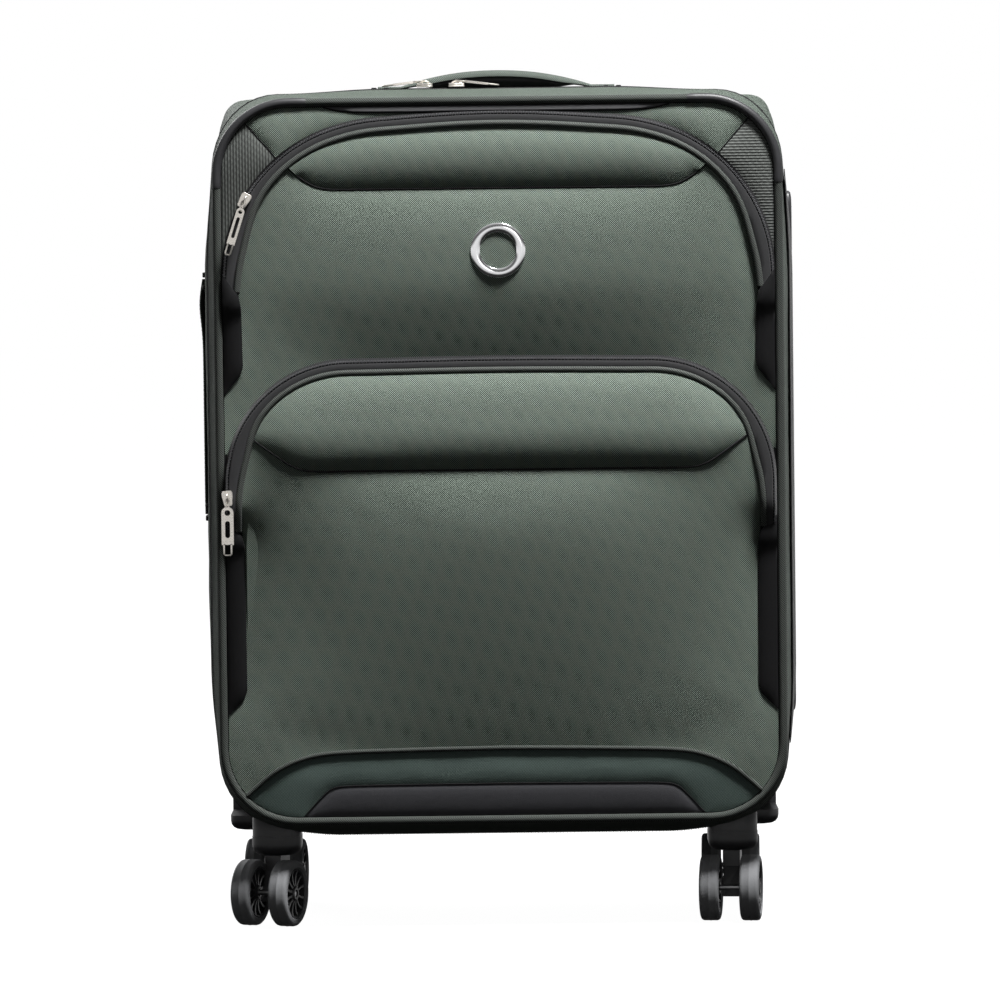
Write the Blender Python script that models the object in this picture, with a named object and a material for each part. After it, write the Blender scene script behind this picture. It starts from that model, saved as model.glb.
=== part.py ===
"""Softside upright suitcase on four twin-wheel casters, as separate pieces.

Metres, +Z up. The origin is on the floor under the middle of the case. The front faces -Y,
the telescopic handle is at the back (+Y) and the side handle is on the left (-X).
"""

import math

import bmesh
import bpy
from mathutils import Matrix, Vector

# ---------------------------------------------------------------- driving dimensions
# Fore and aft planes.
FRONT_Y = -0.117            # middle of the front piping
REAR_Y = 0.143              # where the case's outline stops tapering
ZIP_Y = -0.080              # plane in which the lid parts from the case
PANEL_REAR_Y = 0.1308       # rear edge of the case's walls

# Outline of the case, seen from the front, at its front and rear ends.
FRONT_HALF_WIDTH = 0.2217
WIDTH_GROWTH = 0.0028
SIDE_SWELL = 0.0120
TOP_Z = 0.6487
TOP_STEP = 0.0068
TOP_SWELL = 0.0027
BOTTOM_Z = 0.0816
BOTTOM_STEP = 0.0116
STEP_LENGTH = 0.15          # part of the depth in which top and bottom step outwards
FRONT_RADIUS = 0.060
REAR_RADIUS = 0.020

WALL = 0.0040               # padded fabric wall
LID_WALL = 0.0030
PIPING_RADIUS = 0.0032
EDGE_INSET = 0.0037         # from the piping's inner side to the board that it edges
GAP = 0.0003                # between pieces that touch

# Casters.
WHEEL_RADIUS = 0.026
WHEEL_WIDTH = 0.0155
WHEEL_SIDES = 24
WHEEL_OFFSET = 0.0158       # middle of a wheel from the middle of its caster
AXLE_RADIUS = 0.0020
AXLE_LENGTH = 0.0440
BORE_RADIUS = 0.0023
TRAIL = 0.018               # of the axle behind the swivel axis
FORK_THICKNESS = 0.013
STEM_RADIUS = 0.0050
STEM_BORE_RADIUS = 0.0053
STEM_TOP_Z = 0.0640
HOUSING_BOTTOM_Z = 0.0545
HOUSING_TOP_Z = 0.0697
# name: (x, y, swivel angle in degrees)
CASTERS = {
    "front_left": (-0.1797, -0.068, 20),
    "front_right": (0.1797, -0.068, 7),
    "rear_left": (-0.185, 0.098, 5),
    "rear_right": (0.185, 0.098, 3),
}

# Telescopic handle.
TUBE_X = 0.075
TUBE_Y = 0.108
OUTER_TUBE = (0.0180, 0.0140)
INNER_TUBE = (0.0142, 0.0102)
OUTER_TUBE_Z = (0.0780, 0.6355)
INNER_TUBE_Z = (0.1180, 0.6407)
GRIP_Z = (0.6410, 0.6605)
GRIP_SIZE = (0.173, 0.022)
BEZEL_Z = (0.6480, 0.6590)
BEZEL_OUTER = (0.200, 0.0402)
BEZEL_INNER = (0.178, 0.0240)
BUTTON_SIZE = (0.0252, 0.0112)
BUTTON_Z = (0.6560, 0.6612)
BUTTON_CLEARANCE = 0.0004

# Carry handles: half length, strap width and how deep the strap's ends reach into the case.
HANDLE_HALF = 0.0935
HANDLE_WIDTH = 0.030
LEG_REACH = 0.024
TOP_HANDLE_Y = -0.005
TOP_HANDLE_Z = (0.6645, 0.6725)
TOP_COLLAR = (0.0004, 0.0032)   # heights over the top panel between which a leg's collar sits
SIDE_HANDLE_Y = 0.010
SIDE_HANDLE_Z = 0.4150
SIDE_HANDLE_X = (0.2357, 0.2394)

# Pockets on the lid. Each arch is two arcs joined by a straight top.
UPPER_ARC_CENTRE = (0.092, 0.5085)
UPPER_ARC_RADIUS = 0.1170
LOWER_ARC_CENTRE = (0.118, 0.3487)
LOWER_ARC_RADIUS = 0.0905
ZIP_TO_POCKET = 0.0054
UPPER_POCKET_Y = (-0.1168, -0.1268)
LOWER_POCKET_Y = (-0.1271, -0.1448)
ZIP_TRACK_RADIUS = 0.0022
# Each pocket's slider: its angle on the arc and its pull's lean from upright, in degrees, and
# half the width of the pull.
UPPER_SLIDER = (149.6, 17.8, 0.0030)
LOWER_SLIDER = (186.0, 0.0, 0.0046)
SLIDER_HEIGHT = 0.0050
PULL_RISE = 0.0062          # of a pull's hinge above the zip
PULL_HALF_THICKNESS = 0.0008
PULL_LENGTH = 0.044
EMBLEM_Z = 0.5290
EMBLEM_RADII = (0.0152, 0.0215)

ARC_STEPS = 6


# ---------------------------------------------------------------- helpers
def clear_scene():
    for old in list(bpy.data.objects):
        bpy.data.objects.remove(old)


def make_material(name, color, roughness, metallic=0.0):
    material = bpy.data.materials.new(name)
    material.use_nodes = True
    shader = material.node_tree.nodes["Principled BSDF"]
    shader.inputs["Base Color"].default_value = (*color, 1.0)
    shader.inputs["Roughness"].default_value = roughness
    shader.inputs["Metallic"].default_value = metallic
    return material


def add_object(name, data, material, origin=(0, 0, 0)):
    """Links a mesh or curve given in world coordinates, with its origin moved to origin."""
    piece = bpy.data.objects.new(name, data)
    bpy.context.collection.objects.link(piece)
    data.materials.append(material)
    if any(origin):
        data.transform(Matrix.Translation(-Vector(origin)))
        piece.location = origin
    return piece


def mesh_from(bm, name, sharp_angle=35):
    """Turns bm into a mesh with outward faces, smooth apart from its sharp edges."""
    bmesh.ops.recalc_face_normals(bm, faces=bm.faces)
    mesh = bpy.data.meshes.new(name)
    bm.to_mesh(mesh)
    bm.free()
    mesh.shade_smooth()
    mesh.set_sharp_from_angle(angle=math.radians(sharp_angle))
    return mesh


def loft(name, sections, material, closed=False, strip_caps=False, origin=(0, 0, 0)):
    """Joins equal sections of points with quads, as a closed ring or with capped ends.

    strip_caps closes each end of a wall with quads from its outer row to its inner row, because
    the end of a curved wall isn't flat.
    """
    bm = bmesh.new()
    rows = [[bm.verts.new(point) for point in section] for section in sections]
    size = len(rows[0])
    last = len(rows) if closed else len(rows) - 1
    for i in range(last):
        here = rows[i]
        there = rows[(i + 1) % len(rows)]
        for j in range(size):
            k = (j + 1) % size
            bm.faces.new((here[j], here[k], there[k], there[j]))
    for row in () if closed else (rows[0], rows[-1]):
        if not strip_caps:
            bm.faces.new(row)
            continue
        for j in range(size // 2 - 1):
            bm.faces.new((row[j], row[j + 1], row[size - 2 - j], row[size - 1 - j]))
    return add_object(name, mesh_from(bm, name), material, origin)


def block(name, low, high, material, bevel=0.0, origin=(0, 0, 0)):
    """A box between two corners, with every edge bevelled."""
    bm = bmesh.new()
    bmesh.ops.create_cube(bm, size=1.0)
    size = [b - a for a, b in zip(low, high)]
    middle = [(a + b) / 2 for a, b in zip(low, high)]
    bmesh.ops.scale(bm, vec=size, verts=bm.verts)
    bmesh.ops.translate(bm, vec=middle, verts=bm.verts)
    if bevel:
        bmesh.ops.bevel(bm, geom=bm.edges, offset=bevel, segments=2, profile=0.5, affect="EDGES")
    return add_object(name, mesh_from(bm, name), material, origin)


def rounded_rectangle(half_x, half_y, radius, steps=3):
    """Points of a rectangle about (0, 0) with round corners, anticlockwise."""
    points = []
    for corner in range(4):
        sx = (1, -1, -1, 1)[corner]
        sy = (1, 1, -1, -1)[corner]
        for i in range(steps + 1):
            angle = math.radians(90 * (corner + i / steps))
            x = sx * (half_x - radius) + radius * math.cos(angle)
            y = sy * (half_y - radius) + radius * math.sin(angle)
            points.append((x, y))
    return points


def frame_ring(name, centre, outer, inner, radii, z_range, material, origin=(0, 0, 0)):
    """An upright ring between two rounded rectangles: a bezel, an anchor or a square tube."""
    outside = rounded_rectangle(outer[0] / 2, outer[1] / 2, radii[0])
    inside = rounded_rectangle(inner[0] / 2, inner[1] / 2, radii[1])
    cx, cy = centre
    low, high = z_range
    sections = []
    for (ox, oy), (ix, iy) in zip(outside, inside):
        ring = [(ox, oy, low), (ox, oy, high), (ix, iy, high), (ix, iy, low)]
        sections.append([(cx + x, cy + y, z) for x, y, z in ring])
    return loft(name, sections, material, closed=True, origin=origin)


def cylinder(name, start, end, radius, material, sides=16, origin=(0, 0, 0)):
    """A plain cylinder between two points."""
    start = Vector(start)
    end = Vector(end)
    axis = end - start
    bm = bmesh.new()
    turn = axis.to_track_quat("Z", "Y").to_matrix().to_4x4()
    place = Matrix.Translation((start + end) / 2) @ turn
    bmesh.ops.create_cone(
        bm, cap_ends=True, segments=sides, radius1=radius, radius2=radius, depth=axis.length, matrix=place
    )
    return add_object(name, mesh_from(bm, name), material, origin)


def boolean(target, tool, operation):
    """Cuts or joins with tool, which the build leaves out."""
    modifier = target.modifiers.new(tool.name, "BOOLEAN")
    modifier.operation = operation
    modifier.object = tool
    tool.hide_render = True
    tool.display_type = "WIRE"


def curve_tube(name, points, radius, material, cyclic=False, origin=(0, 0, 0)):
    """A round tube along a line of points."""
    curve = bpy.data.curves.new(name, "CURVE")
    curve.dimensions = "3D"
    curve.bevel_depth = radius
    curve.bevel_resolution = 1
    curve.use_fill_caps = True
    spline = curve.splines.new("POLY")
    spline.points.add(len(points) - 1)
    for slot, point in zip(spline.points, points):
        slot.co = (*point, 1.0)
    spline.use_cyclic_u = cyclic
    return add_object(name, curve, material, origin)


# ---------------------------------------------------------------- outline of the case
def ease(t):
    t = min(max(t, 0.0), 1.0)
    return t * t * (3 - 2 * t)


def outline(y):
    """Half width, bottom, top and corner radius of the case's outer surface at depth y."""
    t = (y - FRONT_Y) / (REAR_Y - FRONT_Y)
    swell = 1 - abs(2 * t - 1) ** 2.4
    step = ease(t / STEP_LENGTH)
    half_width = FRONT_HALF_WIDTH + WIDTH_GROWTH * t + SIDE_SWELL * swell
    bottom = BOTTOM_Z - BOTTOM_STEP * step
    top = TOP_Z + TOP_STEP * step + TOP_SWELL * math.sin(math.pi * min(max(t, 0), 1))
    radius = FRONT_RADIUS + (REAR_RADIUS - FRONT_RADIUS) * ease(t)
    return half_width, bottom, top, radius


def outline_point(y, angle, inset=0.0):
    """A point of the outline at depth y. The angle, in degrees, says where on its corners."""
    half_width, bottom, top, radius = outline(y)
    turned = angle % 360
    sx = 1 if turned <= 90 or turned >= 270 else -1
    corner_z = top - radius if turned <= 180 else bottom + radius
    reach = radius - inset
    x = sx * (half_width - radius) + reach * math.cos(math.radians(angle))
    z = corner_z + reach * math.sin(math.radians(angle))
    return x, y, z


def corner_angles(start, end, steps=ARC_STEPS):
    """Angles from start to end. At 0, 90, 180 and 270 the corner changes, so both sides are kept."""
    angles = [start]
    step = 90 / steps
    edge = 0.001
    current = math.floor(start / step) * step + step
    while current < end - edge:
        if abs(current / 90 - round(current / 90)) < edge:
            angles += [current - edge, current + edge]
        else:
            angles.append(current)
        current += step
    angles.append(end)
    return angles


def wall_section(angle, depths, thickness):
    """The closed cross-section of a wall at one angle: out along its face and back inside."""
    outside = [outline_point(y, angle) for y in depths]
    inside = [outline_point(y, angle, thickness) for y in reversed(depths)]
    return outside + inside


def wall(name, angles, depths, thickness, material, closed=False, origin=(0, 0, 0)):
    sections = [wall_section(a, depths, thickness) for a in corner_angles(*angles)]
    if closed:
        sections = sections[:-1]
    return loft(name, sections, material, closed=closed, strip_caps=True, origin=origin)


def spread(start, end, count):
    return [start + (end - start) * i / (count - 1) for i in range(count)]


def end_outline(y, inset):
    """Rounded outline of a flat end panel, as (x, z) points, inset from the piping's outside."""
    half_width, bottom, top, radius = outline(y)
    points = []
    for angle in corner_angles(0.001, 359.999):
        x, _, z = outline_point(y, angle, 0.0)
        middle_x = math.copysign(half_width - radius, x)
        middle_z = top - radius if angle <= 180 else bottom + radius
        reach = (radius - inset) / radius
        points.append((middle_x + (x - middle_x) * reach, middle_z + (z - middle_z) * reach))
    return points


def end_panel(name, outline_y, inset, y_range, material, origin=(0, 0, 0)):
    points = end_outline(outline_y, inset)
    sections = [[(x, y, z) for x, z in points] for y in y_range]
    return loft(name, sections, material, origin=origin)


def piping(name, outline_y, y, material, origin=(0, 0, 0)):
    points = [(x, y, z) for x, z in end_outline(outline_y, PIPING_RADIUS)]
    return curve_tube(name, points, PIPING_RADIUS, material, cyclic=True, origin=origin)


# ---------------------------------------------------------------- case
def make_case(fabric, lining, trim, zip_tape):
    depths = spread(ZIP_Y + 0.0045, PANEL_REAR_Y, 8)
    seam = 1.0
    wall("right_side_panel", (-45 + seam, 45 - seam), depths, WALL, fabric)
    top = wall("top_panel", (45 + seam, 135 - seam), depths, WALL, fabric)
    left = wall("left_side_panel", (135 + seam, 225 - seam), depths, WALL, fabric)
    wall("bottom_panel", (225 + seam, 315 - seam), depths, WALL, fabric)
    tape = (ZIP_Y + GAP, ZIP_Y + 0.0022, ZIP_Y + 0.0042)
    wall("case_zip", (-0.001, 359.999), tape, WALL, zip_tape, closed=True)

    board = PIPING_RADIUS + EDGE_INSET
    end_panel("back_panel", REAR_Y, board, (0.1345, 0.1385), fabric)
    piping("rear_piping", REAR_Y, 0.1345, trim)
    block("back_lining", (-0.205, 0.0925, 0.085), (0.205, 0.0945, 0.640), lining)
    return top, left


def make_side_feet(plastic):
    for name, z in (("side_foot_lower", 0.180), ("side_foot_upper", 0.545)):
        low = (0.2331, 0.088, z - 0.030)
        high = (0.2394, 0.118, z + 0.030)
        block(name, low, high, plastic, bevel=0.0015)


# ---------------------------------------------------------------- lid
def make_lid(hinge, fabric, trim, zip_tape):
    depths = spread(-0.1132, ZIP_Y - 0.0045, 4)
    wall("lid_gusset", (-0.001, 359.999), depths, LID_WALL, fabric, closed=True, origin=hinge)
    tape = (ZIP_Y - 0.0042, ZIP_Y - 0.0022, ZIP_Y - GAP)
    wall("lid_zip", (-0.001, 359.999), tape, LID_WALL, zip_tape, closed=True, origin=hinge)
    board = PIPING_RADIUS + EDGE_INSET
    end_panel("lid_panel", FRONT_Y, board, (-0.1165, -0.1135), fabric, origin=hinge)
    piping("front_piping", FRONT_Y, FRONT_Y, trim, origin=hinge)


def arch(centre, radius, start, steps=10):
    """Both arcs of a zip or pocket arch, from low on the right, over the top, to low on the left."""
    cx, cz = centre
    right = []
    for i in range(steps + 1):
        angle = math.radians(start + (90 - start) * i / steps)
        right.append((cx + radius * math.cos(angle), cz + radius * math.sin(angle)))
    left = [(-x, z) for x, z in reversed(right)]
    return right + left


def pocket(name, points, y_range, puff, material, origin):
    """A closed pocket whose front edge is rounded off in three steps."""
    back, front = y_range
    middle_x = 0.0
    middle_z = sum(z for _, z in points) / len(points)
    depth = back - front
    sections = []
    for inset, share in ((0.0, 0.0), (0.0, 0.55), (0.35, 0.85), (1.0, 1.0)):
        half = max(x for x, _ in points)
        scale = 1 - inset * puff / half
        y = back - depth * share
        section = [(middle_x + (x - middle_x) * scale, y, middle_z + (z - middle_z) * scale) for x, z in points]
        sections.append(section)
    return loft(name, sections, material, origin=origin)


def make_pockets(hinge, fabric, zip_tape, chrome):
    upper = arch(UPPER_ARC_CENTRE, UPPER_ARC_RADIUS - ZIP_TO_POCKET, -5)
    upper += [(-0.2120, 0.470), (-0.2120, 0.165), (-0.190, 0.118)]
    upper += [(0.190, 0.118), (0.2120, 0.165), (0.2120, 0.470)]
    pocket("upper_pocket", upper, UPPER_POCKET_Y, 0.004, fabric, hinge)

    lower = arch(LOWER_ARC_CENTRE, LOWER_ARC_RADIUS - ZIP_TO_POCKET, -5)
    lower += [(-0.2000, 0.165), (-0.185, 0.132), (0.185, 0.132), (0.2000, 0.165)]
    pocket("lower_pocket", lower, LOWER_POCKET_Y, 0.012, fabric, hinge)

    track_y = UPPER_POCKET_Y[0] - GAP - ZIP_TRACK_RADIUS
    track = [(x, track_y, z) for x, z in arch(UPPER_ARC_CENTRE, UPPER_ARC_RADIUS, -5)]
    curve_tube("upper_pocket_zip", track, ZIP_TRACK_RADIUS, zip_tape, origin=hinge)
    track_y = UPPER_POCKET_Y[1] - GAP - ZIP_TRACK_RADIUS
    track = [(x, track_y, z) for x, z in arch(LOWER_ARC_CENTRE, LOWER_ARC_RADIUS, -8)]
    curve_tube("lower_pocket_zip", track, ZIP_TRACK_RADIUS, zip_tape, origin=hinge)

    inner, outer = EMBLEM_RADII
    ring = []
    front = UPPER_POCKET_Y[1] - 0.0028
    back = UPPER_POCKET_Y[1] - GAP
    for i in range(32):
        angle = 2 * math.pi * i / 32
        dx = math.cos(angle)
        dz = math.sin(angle)
        corners = [(inner, back), (inner + 0.0012, front), (outer - 0.0012, front), (outer, back)]
        ring.append([(r * dx, y, EMBLEM_Z + r * dz) for r, y in corners])
    loft("emblem_ring", ring, chrome, closed=True, origin=hinge)


# ---------------------------------------------------------------- zip sliders
def arc_place(centre, radius, angle):
    """A point on a left-hand arc and the direction along it there, as (x, z) pairs."""
    cx, cz = centre
    turned = math.radians(angle)
    point = (-cx + radius * math.cos(turned), cz + radius * math.sin(turned))
    along = (math.sin(turned), -math.cos(turned))
    return point, along


def oriented_block(name, frame, low, high, material, bevel, origin):
    """A bevelled box given in a local frame of three axes about a point."""
    centre, axes = frame
    piece = block(name, low, high, material, bevel)
    rotation = Matrix(axes).transposed().to_4x4()
    piece.data.transform(Matrix.Translation(centre) @ rotation)
    piece.data.transform(Matrix.Translation(-Vector(origin)))
    piece.location = origin
    return piece


def make_pocket_slider(prefix, centre, radius, slider, front, metal):
    """A slider on a pocket's arch, with a pull that hangs down from it."""
    angle, lean, half_width = slider
    (x, z), (ax, az) = arc_place(centre, radius, angle)
    along = Vector((ax, 0, az))
    outward = Vector((0, -1, 0))
    frame = (Vector((x, front, z)), (along.cross(outward), along, outward))
    arc_origin = (-centre[0], front, centre[1])
    low = (-0.0042, -0.0060, GAP)
    high = (0.0042, 0.0060, SLIDER_HEIGHT)
    oriented_block(prefix + "_slider", frame, low, high, metal, 0.0012, arc_origin)

    turn = math.radians(lean)
    down = Vector((-math.sin(turn), 0, -math.cos(turn)))
    hinge = (x, front - PULL_RISE, z)
    frame = (Vector(hinge), (down.cross(outward), down, outward))
    low = (-half_width, 0.0004, -PULL_HALF_THICKNESS)
    high = (half_width, PULL_LENGTH, PULL_HALF_THICKNESS)
    oriented_block(prefix + "_pull", frame, low, high, metal, 0.0005, hinge)


def make_main_slider(side, x, metal):
    """A slider on the straight top of the main zip, with its pull lying outwards."""
    sign = -1 if side == "left" else 1
    _, _, top, _ = outline(ZIP_Y)
    low = (x - 0.0065, ZIP_Y - 0.0045, top + 0.0006)
    high = (x + 0.0065, ZIP_Y + 0.0045, top + 0.0046)
    block("main_" + side + "_slider", low, high, metal, bevel=0.0012, origin=(x, ZIP_Y, top))
    pivot = (x, ZIP_Y, top + 0.0058)
    ends = sorted((x + sign * 0.0004, x + sign * 0.0330))
    low = (ends[0], ZIP_Y - 0.0036, pivot[2] - PULL_HALF_THICKNESS)
    high = (ends[1], ZIP_Y + 0.0036, pivot[2] + PULL_HALF_THICKNESS)
    block("main_" + side + "_pull", low, high, metal, bevel=0.0005, origin=pivot)


# ---------------------------------------------------------------- carry handles
def handle_sections(collar, rest, thickness):
    """Rows of (inner point, outer point, half width) along a flat arch with legs into the case.

    A point is (distance along the handle, height over the case). The legs stay narrow as far as
    the top of the collar that they slide in.
    """
    half = HANDLE_HALF
    leg = 0.0026
    wide = HANDLE_WIDTH / 2
    narrow = wide - 0.004
    flare = collar + 0.0003
    rows = [
        ((-half + leg, -LEG_REACH), (-half, -LEG_REACH), narrow),
        ((-half + leg, collar), (-half, collar), narrow),
        ((-half + leg, flare), (-half, rest + thickness * 0.35), wide),
        ((-half + 0.012, rest), (-half + 0.009, rest + thickness), wide),
    ]
    mirrored = [((-si, hi), (-so, ho), width) for (si, hi), (so, ho), width in reversed(rows)]
    return rows + mirrored


def make_handle(name, place, collar, rest, thickness, material, origin):
    """Sweeps the arch across the handle's width. place maps (along, across, height) to a point."""
    sections = []
    for (si, hi), (so, ho), width in handle_sections(collar, rest, thickness):
        corners = [(si, -width, hi), (si, width, hi), (so, width, ho), (so, -width, ho)]
        sections.append([place(*corner) for corner in corners])
    return loft(name, sections, material, origin=origin)


def make_top_handle(top_panel, leather, plastic):
    _, _, top, _ = outline(TOP_HANDLE_Y)
    rest = TOP_HANDLE_Z[0] - top
    thickness = TOP_HANDLE_Z[1] - TOP_HANDLE_Z[0]

    def place(along, across, height):
        return along, TOP_HANDLE_Y + across, top + height

    origin = (0, TOP_HANDLE_Y, top)
    make_handle("top_handle", place, TOP_COLLAR[1], rest, thickness, leather, origin)
    for side, sign in (("left", -1), ("right", 1)):
        x = sign * (HANDLE_HALF - 0.0013)
        base = (top + TOP_COLLAR[0], top + TOP_COLLAR[1] - GAP)
        frame_ring(
            "top_anchor_" + side, (x, TOP_HANDLE_Y), (0.0150, 0.0350), (0.0050, 0.0250), (0.003, 0.001),
            base, plastic
        )
        low = (x - 0.0022, TOP_HANDLE_Y - 0.0122, top - 0.010)
        high = (x + 0.0022, TOP_HANDLE_Y + 0.0122, top + 0.004)
        boolean(top_panel, block("cut_top_slot_" + side, low, high, plastic), "DIFFERENCE")


def make_side_handle(left_panel, leather, plastic):
    half_width, _, _, _ = outline(SIDE_HANDLE_Y)
    rest = SIDE_HANDLE_X[0] - half_width
    thickness = SIDE_HANDLE_X[1] - SIDE_HANDLE_X[0]

    def place(along, across, height):
        return -half_width - height, SIDE_HANDLE_Y + across, SIDE_HANDLE_Z + along

    origin = (-half_width, SIDE_HANDLE_Y, SIDE_HANDLE_Z)
    make_handle("side_handle", place, 0.0, rest, thickness, leather, origin)
    for side, sign in (("lower", -1), ("upper", 1)):
        z = SIDE_HANDLE_Z + sign * (HANDLE_HALF - 0.0013)
        low = (-half_width - 0.004, SIDE_HANDLE_Y - 0.0122, z - 0.0022)
        high = (-half_width + 0.010, SIDE_HANDLE_Y + 0.0122, z + 0.0022)
        boolean(left_panel, block("cut_side_slot_" + side, low, high, plastic), "DIFFERENCE")
        outer = z + sign * 0.0105
        inner = z + sign * 0.0028
        ends = sorted((outer, inner))
        low = (-half_width - 0.0036, SIDE_HANDLE_Y - 0.0170, ends[0])
        high = (-half_width - 0.0004, SIDE_HANDLE_Y + 0.0170, ends[1])
        block("side_anchor_" + side, low, high, plastic, bevel=0.001)


# ---------------------------------------------------------------- telescopic handle
def make_telescopic_handle(top_panel, aluminium, plastic, button_plastic):
    for side, x in (("left", -TUBE_X), ("right", TUBE_X)):
        wall_t = 0.0015
        bore = (OUTER_TUBE[0] - 2 * wall_t, OUTER_TUBE[1] - 2 * wall_t)
        frame_ring(
            "outer_tube_" + side, (x, TUBE_Y), OUTER_TUBE, bore, (0.003, 0.002), OUTER_TUBE_Z, aluminium
        )
        wall_t = 0.0012
        bore = (INNER_TUBE[0] - 2 * wall_t, INNER_TUBE[1] - 2 * wall_t)
        frame_ring(
            "inner_tube_" + side, (x, TUBE_Y), INNER_TUBE, bore, (0.0025, 0.0015), INNER_TUBE_Z, aluminium,
            origin=(x, TUBE_Y, INNER_TUBE_Z[1])
        )

    half_x = BEZEL_OUTER[0] / 2 + 0.0005
    half_y = BEZEL_OUTER[1] / 2 + 0.0005
    low = (-half_x, TUBE_Y - half_y, 0.640)
    high = (half_x, TUBE_Y + half_y, 0.670)
    boolean(top_panel, block("cut_bezel_window", low, high, plastic), "DIFFERENCE")
    frame_ring("handle_bezel", (0, TUBE_Y), BEZEL_OUTER, BEZEL_INNER, (0.008, 0.004), BEZEL_Z, plastic)

    half_x = GRIP_SIZE[0] / 2
    half_y = GRIP_SIZE[1] / 2
    low = (-half_x, TUBE_Y - half_y, GRIP_Z[0])
    high = (half_x, TUBE_Y + half_y, GRIP_Z[1])
    grip = block("grip", low, high, plastic, bevel=0.004, origin=(0, TUBE_Y, GRIP_Z[0]))
    half_x = BUTTON_SIZE[0] / 2
    half_y = BUTTON_SIZE[1] / 2
    room = BUTTON_CLEARANCE
    well_low = (-half_x - room, TUBE_Y - half_y - room, 0.6515)
    well_high = (half_x + room, TUBE_Y + half_y + room, 0.670)
    boolean(grip, block("cut_button_well", well_low, well_high, plastic), "DIFFERENCE")
    low = (-half_x, TUBE_Y - half_y, BUTTON_Z[0])
    high = (half_x, TUBE_Y + half_y, BUTTON_Z[1])
    block("grip_button", low, high, button_plastic, bevel=0.0012, origin=(0, TUBE_Y, BUTTON_Z[1]))


# ---------------------------------------------------------------- casters
def caster_axes(swivel):
    """Directions of a caster's trail and axle on the floor, for a swivel angle in degrees."""
    turn = math.radians(swivel)
    trail = Vector((-math.sin(turn), -math.cos(turn), 0))
    axle = Vector((math.cos(turn), -math.sin(turn), 0))
    return trail, axle


def make_front_housing(name, x, y, plastic):
    half = 0.0195
    points = rounded_rectangle(half, half, 0.009)
    sections = []
    for z, scale in ((HOUSING_TOP_Z, 1.0), (0.0610, 1.0), (0.0570, 0.92), (HOUSING_BOTTOM_Z, 0.74)):
        sections.append([(x + px * scale, y + py * scale, z) for px, py in points])
    return loft(name, sections, plastic)


def make_rear_housing(name, x, y, plastic):
    """A corner bracket: a floor plate under the case and a guard up its back."""
    inner = math.copysign(0.152, x)
    outer = math.copysign(0.2245, x)
    profile = [
        (0.0640, 0.0575), (0.0680, HOUSING_BOTTOM_Z), (0.1400, HOUSING_BOTTOM_Z), (0.1448, 0.0600),
        (0.1448, 0.1140), (0.1430, 0.1180), (0.1391, 0.1180), (0.1391, HOUSING_TOP_Z), (0.0640, HOUSING_TOP_Z),
    ]
    edge = math.copysign(0.004, x)
    sections = []
    for px, shrink in ((inner, 0.003), (inner + edge, 0.0), (outer - edge, 0.0), (outer, 0.003)):
        section = []
        for py, pz in profile:
            lift = shrink if pz <= 0.0600 else 0.0
            draw = -shrink if py > 0.141 and pz > 0.0600 else 0.0
            section.append((px, py + draw * 0.5, pz + lift))
        sections.append(section)
    return loft(name, sections, plastic)


def make_fork(name, x, y, swivel, plastic):
    """One leg between the twin wheels, with a stem up into the housing and a hole for the axle."""
    trail, axle = caster_axes(swivel)
    axle_z = WHEEL_RADIUS * math.cos(math.pi / WHEEL_SIDES)
    centre = Vector((x, y, axle_z)) + trail * TRAIL
    pivot = Vector((x, y, HOUSING_BOTTOM_Z))
    top_z = HOUSING_BOTTOM_Z - GAP - axle_z

    # Side profile about the axle: a round foot, and a head under the swivel axis.
    profile = []
    for i in range(9):
        angle = math.radians(-230 + 160 * i / 8)
        profile.append((0.0072 * math.cos(angle), 0.0072 * math.sin(angle)))
    profile += [(-0.0085, 0.0160), (-0.0085, top_z), (-0.0180, top_z), (-0.0275, top_z), (-0.0275, 0.0220)]
    hole = []
    for px, pz in profile:
        length = math.hypot(px, pz)
        hole.append((BORE_RADIUS * px / length, BORE_RADIUS * pz / length))
    sections = []
    half = FORK_THICKNESS / 2
    for (px, pz), (hx, hz) in zip(profile, hole):
        ring = [(px, pz, -half), (px, pz, half), (hx, hz, half), (hx, hz, -half)]
        sections.append([centre + trail * a + axle * c + Vector((0, 0, b)) for a, b, c in ring])
    fork = loft(name, sections, plastic, closed=True, origin=pivot)
    stem_low = (x, y, HOUSING_BOTTOM_Z - 0.004)
    stem = cylinder("join_stem_" + name, stem_low, (x, y, STEM_TOP_Z), STEM_RADIUS, plastic)
    boolean(fork, stem, "UNION")
    return centre, axle


def make_wheel(name, centre, axle, offset, rubber):
    """A turned wheel with a flat underneath it: tread, shoulders and a bore for the axle."""
    half = WHEEL_WIDTH / 2
    middle = centre + axle * offset
    profile = [
        (BORE_RADIUS, -half + 0.002), (0.018, -half), (WHEEL_RADIUS - 0.002, -half),
        (WHEEL_RADIUS, -half + 0.003), (WHEEL_RADIUS, half - 0.003), (WHEEL_RADIUS - 0.002, half),
        (0.018, half), (BORE_RADIUS, half - 0.002),
    ]
    across = axle.cross(Vector((0, 0, 1)))
    sections = []
    for i in range(WHEEL_SIDES):
        angle = 2 * math.pi * (i + 0.5) / WHEEL_SIDES
        radial = across * math.cos(angle) + Vector((0, 0, math.sin(angle)))
        sections.append([middle + radial * r + axle * s for r, s in profile])
    loft(name, sections, rubber, closed=True, origin=middle)


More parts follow.
